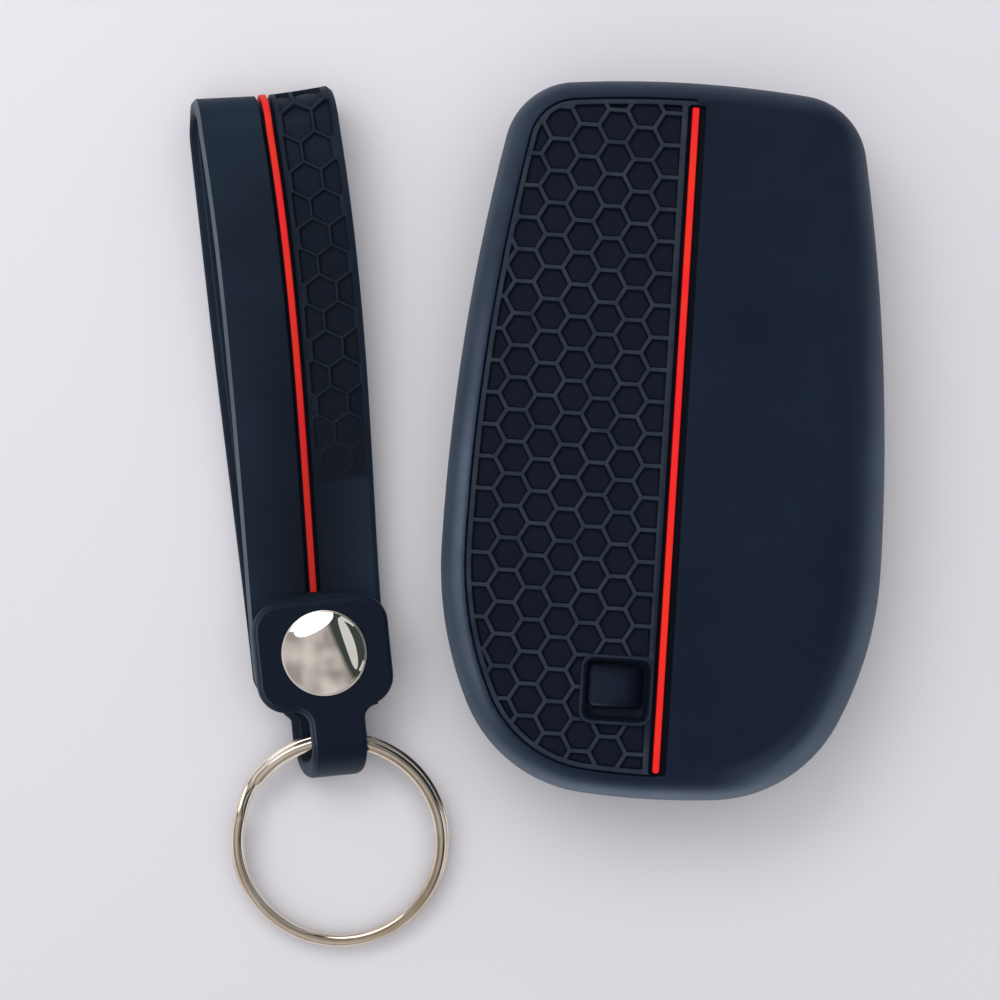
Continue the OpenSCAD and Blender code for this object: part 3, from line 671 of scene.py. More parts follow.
# ---------------------------------------------------------------------------------------------
# Cover stripe. A strip of red silicone that is moulded into the shell's groove and stands a
# tenth of a millimetre above the front. Its top end is cut square and its bottom end is round.
# ---------------------------------------------------------------------------------------------

STRIPE_RISE, STRIPE_FOOT = 0.1, 0.02
STRIPE_TOP_R, STRIPE_LOW_R, STRIPE_STEPS = 0.12, 0.35, 6
# The stripe's rounded edge, as (inset, height over its top)
STRIPE_EDGE = ((0.0, -0.1), (0.03, -0.03), (0.1, 0.0), (0.17, 0.0))


def stripe_outline(inset):
    """The stripe seen from above, drawn in by inset: small corners at the top, round at the bottom."""
    half, end = STRIPE_W / 2, STRIPE_L / 2
    made = []
    for k, (sx, sy) in enumerate(((1, 1), (-1, 1), (-1, -1), (1, -1))):
        radius = max(STRIPE_TOP_R if sy > 0 else STRIPE_LOW_R, inset + NEAR)
        corner = (STRIPE_X + sx * (half - radius), sy * (end - radius))
        made += arc(corner, radius - inset, 90 * k, 90, STRIPE_STEPS)
    return made


RED_GRAIN_DEPTH = 0.000005
SHADED_RED = (0.3, 0.004, 0.006)


def red_skin():
    """Red silicone: a slow drift between red and orange red, painted shade where the recess mark says, a fine
    grain and its sheen.
    """
    group, given, out = new_group("red_skin", {
        "Colour": (1, 0, 0), "Warm colour": (1, 0, 0), "Roughness": 0.4})
    place = place_in(group)
    drift = ranged(group, noise(group, place, 110, 2), 0.4, 0.62)
    colour = blended(group, drift, given["Colour"], given["Warm colour"])
    # Painted shade where the recess mark is set
    feed(group, out["Colour"], blended(group, mark(group, "recess"), colour, SHADED_RED))
    uneven = ranged(group, noise(group, place, 700, 3), 0.3, 0.7, -0.05, 0.07)
    feed(group, out["Roughness"], reckoned(group, "ADD", given["Roughness"], uneven))
    feed(group, out["Height"], noise(group, place, 3800, 2))
    return group


RED_SKIN = red_skin()


def red_silicone(name, colour, warm):
    material, tree, shader = plain_principled(name, ior=1.41, specular=0.2)
    dressed(tree, shader, RED_SKIN, {"Colour": colour, "Warm colour": warm, "Roughness": 0.45},
            RED_GRAIN_DEPTH)
    return material


RED = red_silicone("red_silicone", (0.95, 0.01, 0.016), (0.95, 0.024, 0.009))
stripe = Mould()
stripe.tube([stripe.add([(x, y, z) for x, y in stripe_outline(inset)]) for inset, z in
             [(0, COVER_H - GROOVE_D + STRIPE_FOOT)]
             + [(inset, COVER_H + STRIPE_RISE + rise) for inset, rise in STRIPE_EDGE]])
placed("cover_stripe_inlay", stripe.mesh("cover_stripe_inlay"), RED, "cover",
       ["cover_stripe"], 60)

# ---------------------------------------------------------------------------------------------
# Button pad. A soft key top that floats in the well and is pressed on the key's own button. It
# is held from below by its flange, and its top is a shallow dish with a rounded right edge.
# ---------------------------------------------------------------------------------------------

PAD_TOP, PAD_CROWN, PAD_FALL, PAD_FALL_FROM, FLANGE_T = COVER_H - 0.79, 0.5, 0.75, 0.3, 0.5
PAD_EDGE_X, PAD_EDGE_Y, PAD_EDGE_ROUND, PAD_FALL_ROUND, PAD_DISH = 5, 6, 0.45, 1.4, 0.6
# The rings of the pad's top, which lie closer together towards its edge
PAD_STEPS, PAD_CROWDING = 26, 1.6
# Painted shade: share of the recess's dark that the whole pad has, and where more of it starts and over what
# length
PAD_DARK, PAD_DARK_X, PAD_DARK_Y = 0.3, (0.15, 0.5), (0.55, 0.4)
# Painted highlight: its share at the left edge, in a line along the low edge, and of both in all
PAD_HIGHLIGHT_LEFT, PAD_HIGHLIGHT_LINE, PAD_LINE, PAD_HIGHLIGHT = 0.06, 0.5, (-0.97, -0.85), 0.35


def pad_height(x, y):
    """Height of the pad's top over its rim, for x and y from -1 to 1 across the pad."""
    edge = (1 - abs(x) ** PAD_EDGE_X) * (1 - abs(y) ** PAD_EDGE_Y)
    dish = 1 - PAD_DISH * (1 - x * x) * (1 - y * y)
    fall = np.clip((x - PAD_FALL_FROM) / (1 - PAD_FALL_FROM), 0, 1) ** PAD_FALL_ROUND
    return PAD_CROWN * np.clip(edge, 0, 1) ** PAD_EDGE_ROUND * dish - PAD_FALL * fall


def pad_shade(x, y):
    """Painted shade: dark where the pad falls away at the right and under the frame at the top."""
    across, up = ((place - start) / length for place, (start, length) in ((x, PAD_DARK_X), (y, PAD_DARK_Y)))
    return np.clip(np.maximum(across, up), 0, 1)


def pad_highlight(x, y):
    """Painted highlight: pale along the pad's left edge, and more so in a line along its low edge."""
    in_line = (y > PAD_LINE[0]) & (y < PAD_LINE[1])
    return PAD_HIGHLIGHT * np.clip(PAD_HIGHLIGHT_LEFT * (1 - x) + PAD_HIGHLIGHT_LINE * in_line, 0, 1)


pad = Mould()
pad_outline = rounded_box((0, 0), PAD_W, PAD_L, PAD_R)
flange_outline = rounded_box((0, 0), PAD_W + 2 * FLANGE_W, PAD_L + 2 * FLANGE_W,
                             PAD_R + FLANGE_W - PAD_GAP)
flange_z = seat_z + FLANGE_T
# The flange and the pad's foot carry full painted shade
pad_rings = [pad.add([(BUTTON_AT[0] + x, BUTTON_AT[1] + y, z) for x, y in loop], recess=1)
             for loop, z in ((flange_outline, seat_z), (flange_outline, flange_z), (pad_outline, flange_z))]
for k in range(PAD_STEPS):
    ring = np.array(pad_outline) * (1 - (k / PAD_STEPS) ** PAD_CROWDING)
    x, y = ring[:, 0] / (PAD_W / 2), ring[:, 1] / (PAD_L / 2)
    shade = pad_shade(x, y)
    points = np.column_stack([ring + BUTTON_AT, PAD_TOP + pad_height(x, y)])
    # Marks: painted shade, and a painted highlight that fades where the shade is
    pad_rings.append(pad.add(points, 0, PAD_DARK + (1 - PAD_DARK) * shade,
                             pad_highlight(x, y) * (1 - shade)))
pad.tube(pad_rings)
placed("button_pad_top", pad.mesh("button_pad_top"), NAVY, "button", ["button_pad"], 50)

# ---------------------------------------------------------------------------------------------
# Strap band. A flat silicone strip that comes off the loop, runs back under everything, folds
# over and comes forward to the snap. Its outer face carries the groove and two rows of cells.
# ---------------------------------------------------------------------------------------------

SNAP_AT, STRAP_LEAN = np.array([-COVER_W / 2 - 12.35, -25.8]), math.radians(9.3)
STRAP_W, STRAP_T, STRAP_L, FOLD_H, NECK_W = 15.6, 1.9, 63.0, 9.0, 6.2
LOOP_R, LOOP_Y, TAB_W, TAB_L, TAB_X, TAB_Y, NECK_X = 2.0, -10.2, 15.2, 12.4, -0.28, -0.1, 0.6
LOOP_Z, RUN_MID_R = STRAP_T + LOOP_R, LOOP_R + STRAP_T / 2
FOLD_R = (FOLD_H - STRAP_T) / 2
FOLD_Y = STRAP_L - FOLD_R - STRAP_T / 2
TAB_UNDER = STRAP_T + 2 * LOOP_R
TAB_TOP = TAB_UNDER + STRAP_T
RUN_GAP = 0.8
RUN_MID = STRAP_T + RUN_GAP + STRAP_T / 2
# Places across the strap where each run starts and ends, the front run's bow and the loop's drift
BACK_FROM, BACK_TO, FRONT_FROM, FRONT_TO, FRONT_BOW, LOOP_SHIFT = -1.35, -2.0, -1.0, -0.2, 0.67, -2.5
# The bow's curve is highest where its share of the run is two thirds, and there it is 4 / 27
BOW_SCALE = 27 / 4
STRAP_TAPER, FULL_FROM = 0.3, 40.0
FLARE_FROM, FLARE_L, LEVEL_TO, RUN_END, RUN_ROUND = LOOP_Y + 2.6, 5.4, 8.0, -5.2, 3.4
GROOVE_TO = 6.75
EDGE_OUTER, EDGE_INNER = 0.5, 0.35
# The low bead along each edge of the inner face: distance in from the edge, half width, height
BEAD_IN, BEAD_HALF, BEAD_H = 1.0, 0.15, 0.07
# On narrow parts the bevels and the bead take up no more than this share of the half width
MOST_BEVEL, MOST_BEAD = 0.6, 0.8
# Round the fold, the strap's edges reach farther than its middle, by the square of the distance
# across. It sets in over this length before the fold.
FOLD_SKEW, FOLD_SKEW_L = 0.0065, 6
# Steps over a bevel's upper and lower edge, as (in, down)
BEVEL_TOP, BEVEL_LOW = (0.04, 0.02), (0.04, 0.06)
FLARE_POWER, LEAST_ROUND = 0.6, 0.02


def eased(t):
    t = min(max(t, 0.0), 1.0)
    return t * t * (3 - 2 * t)


def front_x(y):
    share = min(max(y / FOLD_Y, 0.0), 1.0)
    bow = BOW_SCALE * FRONT_BOW * share ** 2 * (1 - share)
    return FRONT_FROM + (FRONT_TO - FRONT_FROM) * share + bow


def half_at(y):
    return STRAP_W / 2 - STRAP_TAPER * (1 - eased(y / FULL_FROM))


def front_z(y):
    return RUN_MID + (STRAP_T / 2 + 2 * FOLD_R - RUN_MID) * eased((y - LEVEL_TO) / (FOLD_Y - LEVEL_TO))


def front_heading(y):
    return 180 - math.degrees(math.atan((front_z(y - NEAR) - front_z(y + NEAR)) / (2 * NEAR)))


def front_half(y):
    past = max(RUN_END + RUN_ROUND - y, 0) / RUN_ROUND
    return half_at(y) - RUN_ROUND + RUN_ROUND * math.sqrt(max(1 - past ** 2, LEAST_ROUND ** 2))


# Stations along the strip: x, y, z, heading in the side view, half width
FLARE_STEPS, BACK_STEPS, FOLD_STEPS, RUN_STEPS, END_STEPS = 30, 40, 40, 76, 12
stations = []
flare_to = FLARE_FROM + FLARE_L
ys = [LOOP_Y + (flare_to - LOOP_Y) * i / FLARE_STEPS for i in range(FLARE_STEPS + 1)]
for y in ys + [flare_to + (FOLD_Y - flare_to) * i / BACK_STEPS for i in range(1, BACK_STEPS)]:
    flared = eased((y - FLARE_FROM) / FLARE_L) ** FLARE_POWER
    neck, full = NECK_X + LOOP_SHIFT, BACK_FROM + (BACK_TO - BACK_FROM) * max(y / FOLD_Y, 0)
    stations.append((neck + (full - neck) * flared, y, STRAP_T / 2, 0,
                     NECK_W / 2 + (half_at(y) - NECK_W / 2) * flared))
FOLD_START = len(stations)
for i in range(FOLD_STEPS + 1):
    t = i / FOLD_STEPS
    a = math.radians(180 * t - 90)
    stations.append((BACK_TO + (FRONT_TO - BACK_TO) * eased(t), FOLD_Y + FOLD_R * math.cos(a),
                     STRAP_T / 2 + FOLD_R + FOLD_R * math.sin(a), 180 * t, STRAP_W / 2))
for i in range(1, RUN_STEPS + 1):
    y = FOLD_Y + (RUN_END + RUN_ROUND - FOLD_Y) * i / RUN_STEPS
    stations.append((front_x(y), y, front_z(y), front_heading(y), front_half(y)))
for i in range(1, END_STEPS + 1):
    y = RUN_END + RUN_ROUND * (1 - math.sin(math.radians(90 * i / END_STEPS)))
    stations.append((front_x(y), y, RUN_MID, 180, front_half(y)))
stations = np.array(stations)
strip_run = np.concatenate([[0], np.cumsum(np.linalg.norm(np.diff(stations[:, 1:3], axis=0), axis=1))])
FRONT_START = FOLD_START + FOLD_STEPS


def in_row_frame(points):
    """Points of the strap's own frame, turned and moved to where the strap lies beside the cover."""
    points = np.asarray(points, float)
    c, s = math.cos(STRAP_LEAN), math.sin(STRAP_LEAN)
    return np.column_stack([SNAP_AT[0] + points[:, 0] * c - points[:, 1] * s,
                            SNAP_AT[1] + points[:, 0] * s + points[:, 1] * c, points[:, 2]])


def on_strip(u, run, v):
    """Points of the strip: u across, run along its middle line, v outwards from its middle layer."""
    x, y, z, heading = (np.interp(run, strip_run, stations[:, k]) for k in range(4))
    h = np.radians(heading)
    y = y + v * np.sin(h)
    skew = FOLD_SKEW * u ** 2 * np.clip((y - FOLD_Y) / FOLD_SKEW_L + 1, 0, 1) ** 2
    return in_row_frame(np.column_stack([x + u, y + skew, z - v * np.cos(h)]))


def edge_curve(half, reach, corner):
    """Points over one bevelled edge, from the face to the side: across and outwards."""
    return [(half - corner, reach), (half - corner + BEVEL_TOP[0], reach - BEVEL_TOP[1]),
            (half - BEVEL_LOW[0], reach - corner + BEVEL_LOW[1]), (half, reach - corner)]


def open_section(half):
    """The strip's section from the outer face's left corner round the inner face to its right corner."""
    outer, inner = (min(edge, half * MOST_BEVEL) for edge in (EDGE_OUTER, EDGE_INNER))
    bead = half - min(BEAD_IN, half * MOST_BEAD)
    right_out = edge_curve(half, STRAP_T / 2, outer)
    right_in = [(bead - BEAD_HALF, STRAP_T / 2), (bead, STRAP_T / 2 + BEAD_H),
                (bead + BEAD_HALF, STRAP_T / 2)] + edge_curve(half, STRAP_T / 2, inner)
    left_out, left_in = [(-u, v) for u, v in right_out], [(-u, -v) for u, v in right_in]
    right_in = [(u, -v) for u, v in right_in]
    return left_out + left_in[::-1] + right_in + right_out[::-1]


# Share of the painted sheen at each point of that section: a painted highlight along its left bevel, and
# faintly on the beads
SECTION_SHEEN = (0, 0.9, 0.9, 0.5) + (0,) * 5 + (0.3, 0, 0, 0.3) + (0,) * 5 + (0, 0.04, 0.04, 0)

# The relief on the outer face, as a flat sheet of (across, along) before it is bent on the strip
RELIEF_START = FOLD_START + 8
STRAP_GROOVE_W, GROOVE_OFF, STRAP_RIB_W = 1.8, 0.1, 0.2
STRAP_CELL_R = (CELL_PITCH - STRAP_RIB_W) / math.sqrt(3)
# The rows of cells start at this place on the front run, fade in and end on the fold. They drift
# to the left from row to row, and this row is the one that has its plain place.
CELL_ROWS_FROM, CELL_ROWS_FADE, CELL_ROWS_SPARE, CELL_FIRST = 21.45, 9.0, 2.4, 3.49
ROW_STEP, ROW_SHEAR, ROW_LEVEL, LEAST_FADE, LEAST_STRAP_CELL = 3.13, 0.0144, 6, 0.12, 0.3
MOST_ROWS = 60
# Painted shade in the strap's cells, by distance in from their edge
STRAP_CELL_SHADE = ((0, 0), (0.04, 0.1), (0.08, 0.6), (0.12, 1), (0.22, 0.85), (0.32, 0.2))
STRAP_CELL_PROFILE = ((0, 0), (0.04, 0.04), (0.08, 0.2), (0.12, 0.42), (0.22, 0.5), (0.32, 0.5))
GROOVE_MARGIN = 0.4
# The ribs' pale colour, part wear and part painted highlight, which ends over this depth, inside the
# honeycomb and on its border
STRAP_WEAR_AND_HIGHLIGHT_D, STRAP_WEAR_AND_HIGHLIGHT, BORDER_WEAR_AND_HIGHLIGHT = 0.06, 0.32, 0.02
# Painted shade: the face darkens from here towards the snap, and more so on the honeycomb's side
DARKENS_FROM, DARKENING, PANEL_DARK = 56, 0.8, 0.45


def run_at(y):
    """Length along the strip at a place y of its front run."""
    part = slice(FRONT_START, len(stations))
    return float(np.interp(-y, -stations[part, 1], strip_run[part]))


relief_from = strip_run[RELIEF_START]
groove_to = run_at(GROOVE_TO)
groove_low, groove_high = GROOVE_OFF - STRAP_GROOVE_W / 2, GROOVE_OFF + STRAP_GROOVE_W / 2
strap_groove = [np.array(p) for p in (
    (groove_low, relief_from + GROOVE_MARGIN), (groove_high, relief_from + GROOVE_MARGIN),
    (groove_high, groove_to), (groove_low, groove_to))]
cells_low = groove_high + BORDER_W
cells_high = STRAP_W / 2 - EDGE_OUTER - STRAP_RIB_W
strap_cells = []
first_run = run_at(CELL_ROWS_FROM)
for j in range(MOST_ROWS):
    along = first_run - j * ROW_STEP
    if along < relief_from + CELL_ROWS_SPARE:
        break
    fade = LEAST_FADE + (1 - LEAST_FADE) * eased(j * ROW_STEP / CELL_ROWS_FADE)
    for k in (-1, 0, 1):
        across = CELL_FIRST + (k + (j % 2) / 2) * CELL_PITCH - ROW_SHEAR * (j - ROW_LEVEL) * ROW_STEP
        cell = [np.array([across + x, along + y * ROW_STEP / CELL_COLUMN])
                for x, y in hexagon((0, 0), STRAP_CELL_R, 30)]
        cell = trimmed(trimmed(cell, np.array([1.0, 0.0]), cells_high), np.array([-1.0, 0.0]), -cells_low)
        if len(cell) > 2 and inward(cell, LEAST_STRAP_CELL):
            strap_cells.append((inward(cell, HAIR), fade))


def strap_height(points):
    """Height of the strip's outer face over its plain level, with the marks of its ribs' pale tops (part
    wear, part painted highlight) and of painted shade.
    """
    depth, shade = sunk_cells(points, strap_cells, STRAP_CELL_PROFILE, STRAP_CELL_SHADE)
    in_groove = sunk(depth_inside(points, strap_groove), GROOVE_PROFILE)
    depth = np.maximum(depth, in_groove)
    across, along = points.T
    on_panel = (across > groove_high - ON_EDGE) & (across < cells_high + STRAP_RIB_W)
    inner = (across > cells_low - ON_EDGE) & (across < cells_high - ON_EDGE)
    faded = np.clip((first_run + 1 - along) / CELL_ROWS_FADE, 0, 1)
    rib_wear_and_highlight = np.where(inner, STRAP_WEAR_AND_HIGHLIGHT, BORDER_WEAR_AND_HIGHLIGHT) * faded
    rib = on_panel * np.clip(1 - depth / STRAP_WEAR_AND_HIGHLIGHT_D, 0, 1) * rib_wear_and_highlight
    low = np.clip((along - run_at(DARKENS_FROM)) / (groove_to - run_at(DARKENS_FROM)), 0, 1)
    face = low ** DARKENING + PANEL_DARK * on_panel * (1 - low)
    return -depth, rib, np.clip(np.max([shade, in_groove / CELL_DEPTH, face], axis=0), 0, 1)


band = Mould()
sections = []
for row, run in zip(stations, strip_run):
    section = np.array(open_section(row[4]))
    sections.append(band.add(on_strip(section[:, 0], np.full(len(section), run), section[:, 1]),
                             painted_sheen=SECTION_SHEEN))
for k in range(len(sections) - 1):
    band.wall(sections[k], sections[k + 1], closed=False)
    if k < RELIEF_START:
        band.face([sections[k][0], sections[k][-1], sections[k + 1][-1], sections[k + 1][0]])
band.face(sections[0][::-1])
band.face(sections[-1])
left_edge = [(open_section(stations[k][4])[0][0], strip_run[k]) for k in range(RELIEF_START, len(stations))]
curves = [cell for cell, _ in strap_cells]
for cell, _ in strap_cells:
    curves += contours(cell, STRAP_CELL_PROFILE[1:])
curves += contours(strap_groove, GROOVE_PROFILE)
across_lines = [((u, s), (-u, s)) for u, s in left_edge[1:-1]]
strap_border = left_edge[::-1] + [(-u, s) for u, s in left_edge]
flat, triangles = relief_sheet(strap_border[::-1], curves, across_lines)
height, *marks = strap_height(flat)
band.sheet(band.add(on_strip(flat[:, 0], flat[:, 1], STRAP_T / 2 + height), *marks), triangles)
# Plain and rib colours, then the mottle and painted shade colour, then the painted sheen colour
STRAP_NAVY = silicone("strap_silicone", (0.0095, 0.0205, 0.039), (0.03, 0.042, 0.062),
                      (0.0015, 0.0045, 0.012), (0.125, 0.15, 0.18))
placed("strap_band_skin", band.mesh("strap_band_skin"), STRAP_NAVY, "strap", ["strap_band"])

# ---------------------------------------------------------------------------------------------
# Strap stripe. The same red silicone, moulded into the strap's groove. It comes round the fold
# with the groove, stands a little proud of the strip and stops just short of the keeper tab.
# ---------------------------------------------------------------------------------------------

INLAY_MARGIN, INLAY_GAP = 0.7, 0.05
# Painted shade: the red darkens from this place on the front run towards the snap, up to this share
SHADE_FROM, STRIPE_SHADE = 45, 0.6
inlay = Mould()
inlay_from, inlay_to = relief_from + INLAY_MARGIN, groove_to - INLAY_GAP
inlay_runs = [inlay_from] + [s for s in strip_run if inlay_from < s < inlay_to - INLAY_GAP] + [inlay_to]
inlay_foot, inlay_top = STRAP_T / 2 - GROOVE_D + STRIPE_FOOT, STRAP_T / 2 + STRIPE_RISE
right = [(STRIPE_W / 2 - inset, inlay_top + rise) for inset, rise in STRIPE_EDGE[:3]]
right = [(STRIPE_W / 2, inlay_foot)] + right
inlay_section = np.array([(-u, v) for u, v in right] + right[::-1]) + (GROOVE_OFF, 0)
shade_from = run_at(SHADE_FROM)
inlay.tube([inlay.add(on_strip(inlay_section[:, 0], np.full(len(inlay_section), s), inlay_section[:, 1]),
                      recess=STRIPE_SHADE * eased((s - shade_from) / (groove_to - shade_from)))
            for s in inlay_runs])
STRAP_RED = red_silicone("strap_red_silicone", (0.83, 0.016, 0.02), (0.8, 0.026, 0.012))
placed("strap_stripe_inlay", inlay.mesh("strap_stripe_inlay"), STRAP_RED, "strap",
       ["strap_stripe"], 60)

# ---------------------------------------------------------------------------------------------
# Keeper tab and loop. The strip's own end: a wide pad with round corners that holds the snap,
# and a narrow neck. The neck bends down round the split ring and goes over into the strap.
# ---------------------------------------------------------------------------------------------

TAB_R, TAB_FILLET = 3.2, 1.6
# Rounded edge of the pad's top face, as (inset, depth below the face)
TAB_EDGE = ((0.0, 0.5), (0.05, 0.3), (0.17, 0.13), (0.36, 0.05), (0.62, 0.03), (0.74, 0.0))
TAB_FOOT = ((0.22, 0.0), (0.06, 0.07), (0.0, 0.25))
# Share of the painted sheen at each ring of the pad from its foot up, and at the points of the loop's section
TAB_SHEEN = (0, 0, 0, 0.3, 0.6, 0.9, 0.2, 0.8, 0)
LOOP_SHEEN = np.array((0,) * 10 + (0.4, 0.1, 0.6, 0.4, 0.2, 0, 0, 0))
# Edges of the pad that don't face left, away from the light, have only this share of it
TAB_SHEEN_SHARE = 0.05
# The loop has more painted sheen, which sets in from this share of its turn over that one
LOOP_SHEEN_MORE, LOOP_SHEEN_FROM, LOOP_SHEEN_L = 0.75, 0.1, 0.3
# Shares of the corner's turn at the points over the loop's outer and inner edges
OUTER_TURNS, INNER_TURNS = (0, 0.1, 0.35, 0.65, 0.9, 1), (1, 0.5, 0)


def tab_outline(inset):
    """The tab from above, counter-clockwise from the neck's right side, drawn in by inset."""
    top, low = TAB_Y + TAB_L / 2, TAB_Y - TAB_L / 2
    radius, fillet = TAB_R - inset, TAB_FILLET + inset
    sides = []
    for side in (1, -1):
        neck, x = side * NECK_X + NECK_W / 2, side * TAB_X + TAB_W / 2 - TAB_R
        half = [(neck - inset, LOOP_Y)] + arc((neck + TAB_FILLET, low - TAB_FILLET), fillet, 180, -90, 9)
        half += arc((x, low + TAB_R), radius, -90, 90, 12) + arc((x, top - TAB_R), radius, 0, 90, 12)
        sides.append([(side * a, b) for a, b in half])
    return sides[0] + sides[1][::-1]


# Painted shade: the strap's silicone in darker colours, for the tab and the loop
SHADED_TAB_NAVY = silicone("tab_silicone_shaded", (0.0028, 0.0085, 0.0205), (0.026, 0.036, 0.052),
                    (0.003, 0.0075, 0.016), (0.06, 0.08, 0.105))
tab = Mould()
levels = [(inset, TAB_UNDER + rise) for inset, rise in TAB_FOOT]
levels += [(inset, TAB_TOP - drop) for inset, drop in TAB_EDGE]
step = 0.1
to_left = (np.array(tab_outline(step)) - tab_outline(0))[:, 0] / step
sheened = TAB_SHEEN_SHARE + (1 - TAB_SHEEN_SHARE) * np.clip(to_left, 0, 1) ** 2
tab_rings = [tab.add(in_row_frame([(x, y, z) for x, y in tab_outline(inset)]), painted_sheen=painted_sheen * sheened)
             for (inset, z), painted_sheen in zip(levels, TAB_SHEEN)]
tab.tube(tab_rings, False)
for inset, z in (levels[0], levels[-1]):
    flat, triangles = relief_sheet(tab_outline(inset), [])
    tab.sheet(tab.add(in_row_frame([(x, y, z) for x, y in flat])), triangles)
placed("keeper_tab_pad", tab.mesh("keeper_tab_pad"), SHADED_TAB_NAVY, "tab", ["keeper_tab"], 60)


def loop_section(share):
    """The neck's section, which goes from the tab's edges at share 0 to the strip's at share 1."""
    half, t = NECK_W / 2, STRAP_T / 2
    upper = [(half - inset, t - drop) for inset, drop in TAB_EDGE]
    lower = [(half - inset, rise - t) for inset, rise in TAB_FOOT]
    right = lower + upper
    tab_side = right + [(-u, v) for u, v in right[::-1]]
    outer = [(half - EDGE_OUTER * d, t - EDGE_OUTER * (1 - d)) for d in OUTER_TURNS]
    inner = [(half - EDGE_INNER * d, EDGE_INNER * (1 - d) - t) for d in INNER_TURNS]
    strip_side = inner + outer + [(-u, v) for u, v in (inner + outer)[::-1]]
    return (1 - share) * np.array(tab_side) + share * np.array(strip_side)


LOOP_STEPS = 28
loop = Mould()
loop_rings = []
for i in range(LOOP_STEPS + 1):
    share = i / LOOP_STEPS
    a = math.radians(90 + 180 * share)
    across, out = loop_section(share).T
    points = np.column_stack([across + NECK_X + LOOP_SHIFT * eased(share),
                              LOOP_Y + (RUN_MID_R + out) * math.cos(a),
                              LOOP_Z + (RUN_MID_R + out) * math.sin(a)])
    # Painted sheen, with more of it over the loop's turn
    sheen = LOOP_SHEEN_MORE * eased((share - LOOP_SHEEN_FROM) / LOOP_SHEEN_L)
    loop_rings.append(loop.add(in_row_frame(points), painted_sheen=LOOP_SHEEN + sheen))
loop.tube(loop_rings)
loop_bend = placed("loop_bend", loop.mesh("loop_bend"), SHADED_TAB_NAVY, None, [], 60)
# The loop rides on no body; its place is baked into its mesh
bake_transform(loop_bend)
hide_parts("keeper_tab", "strap_band")

# ---------------------------------------------------------------------------------------------
# Snap. A polished domed cap of nickelled brass, whose hollow post goes through the tab and is
# rolled into the socket below it. The socket, its spring, the stud and its post stay as packed.
# ---------------------------------------------------------------------------------------------

CAP_R, CAP_H, CAP_RIM_T, CAP_BRIM = 4.8, 1.25, 0.3, 0.25
BARREL_R, BARREL_BORE_R, SOCKET_FLOOR, ROLL_T, ROLL_R = 1.15, 0.8, TAB_UNDER - 0.3, 0.12, 1.55
TURN_STEPS, DOME_STEPS = 96, 26
# Rounded edges of the post's roll as (out past its radius, up from its foot), of the brim's underside
# as (inset, up), of the brim as (inset, down), and of the dome's foot as (out, up)
ROLL_EDGE = ((-0.05, 0), (0, ROLL_T - 0.06), (-0.03, ROLL_T))
UNDER_EDGE = ((0.1, 0), (0, 0.08))
BRIM_EDGE = ((0, 0.13), (0.01, 0.09), (0.03, 0.05), (0.07, 0.015), (0.12, 0))
DOME_FOOT = ((0.04, 0.004), (0, 0.02))


def turned(mould, profile):
    """A closed ring of faces turned from a profile of (radius, height) round the snap's middle line."""
    turns = [2 * math.pi * k / TURN_STEPS for k in range(TURN_STEPS)]
    rows = [mould.add(in_row_frame([(r * math.cos(a), r * math.sin(a), z) for a in turns]))
            for r, z in profile]
    mould.tube(rows, False)
    return rows


SCRATCH_BROWN = (0.13, 0.09, 0.055)


def metal_skin():
    """Plated metal: a faint cloudiness, hairline scratches and a little tarnish in its roughness."""
    group, given, out = new_group("metal_skin", {
        "Colour": (0.8, 0.8, 0.8), "Tarnish colour": (0.5, 0.4, 0.3), "Tarnish": 0.3,
        "Roughness": 0.1, "Wear": 0.05})
    place = place_in(group)
    cloud = ranged(group, noise(group, place, 150, 4), 0.38, 0.66)
    colour = blended(group, reckoned(group, "MULTIPLY", cloud, given["Tarnish"]), given["Colour"],
                     given["Tarnish colour"])
    broken = ranged(group, noise(group, place, 170, 2), 0.3, 0.65, 0.45, 1.0)
    lines = reckoned(group, "MULTIPLY", mark(group, "recess"), broken)
    feed(group, out["Colour"], blended(group, lines, colour, SCRATCH_BROWN))
    fine = ranged(group, noise(group, place, 1500, 5, 0.7), 0.4, 0.75)
    wear = reckoned(group, "MULTIPLY", fine, given["Wear"])
    feed(group, out["Roughness"], reckoned(group, "ADD", given["Roughness"], wear))
    feed(group, out["Height"], noise(group, place, 2400, 4, 0.65))
    return group


METAL_SKIN = metal_skin()


def metal(name, colour, tarnish_colour, tarnish, roughness, wear, scratch_depth):
    material, tree, shader = plain_principled(name, metallic=1.0)
    dressed(tree, shader, METAL_SKIN, {
        "Colour": colour, "Tarnish colour": tarnish_colour, "Tarnish": tarnish,
        "Roughness": roughness, "Wear": wear}, scratch_depth)
    return material


POLISHED = metal("polished_nickel", (0.86, 0.83, 0.79), (0.7, 0.62, 0.55), 0.25, 0.015, 0.03, 0.0000004)
PLATED = metal("plated_steel", (0.72, 0.71, 0.69), (0.45, 0.4, 0.34), 0.4, 0.22, 0.12, 0.000003)

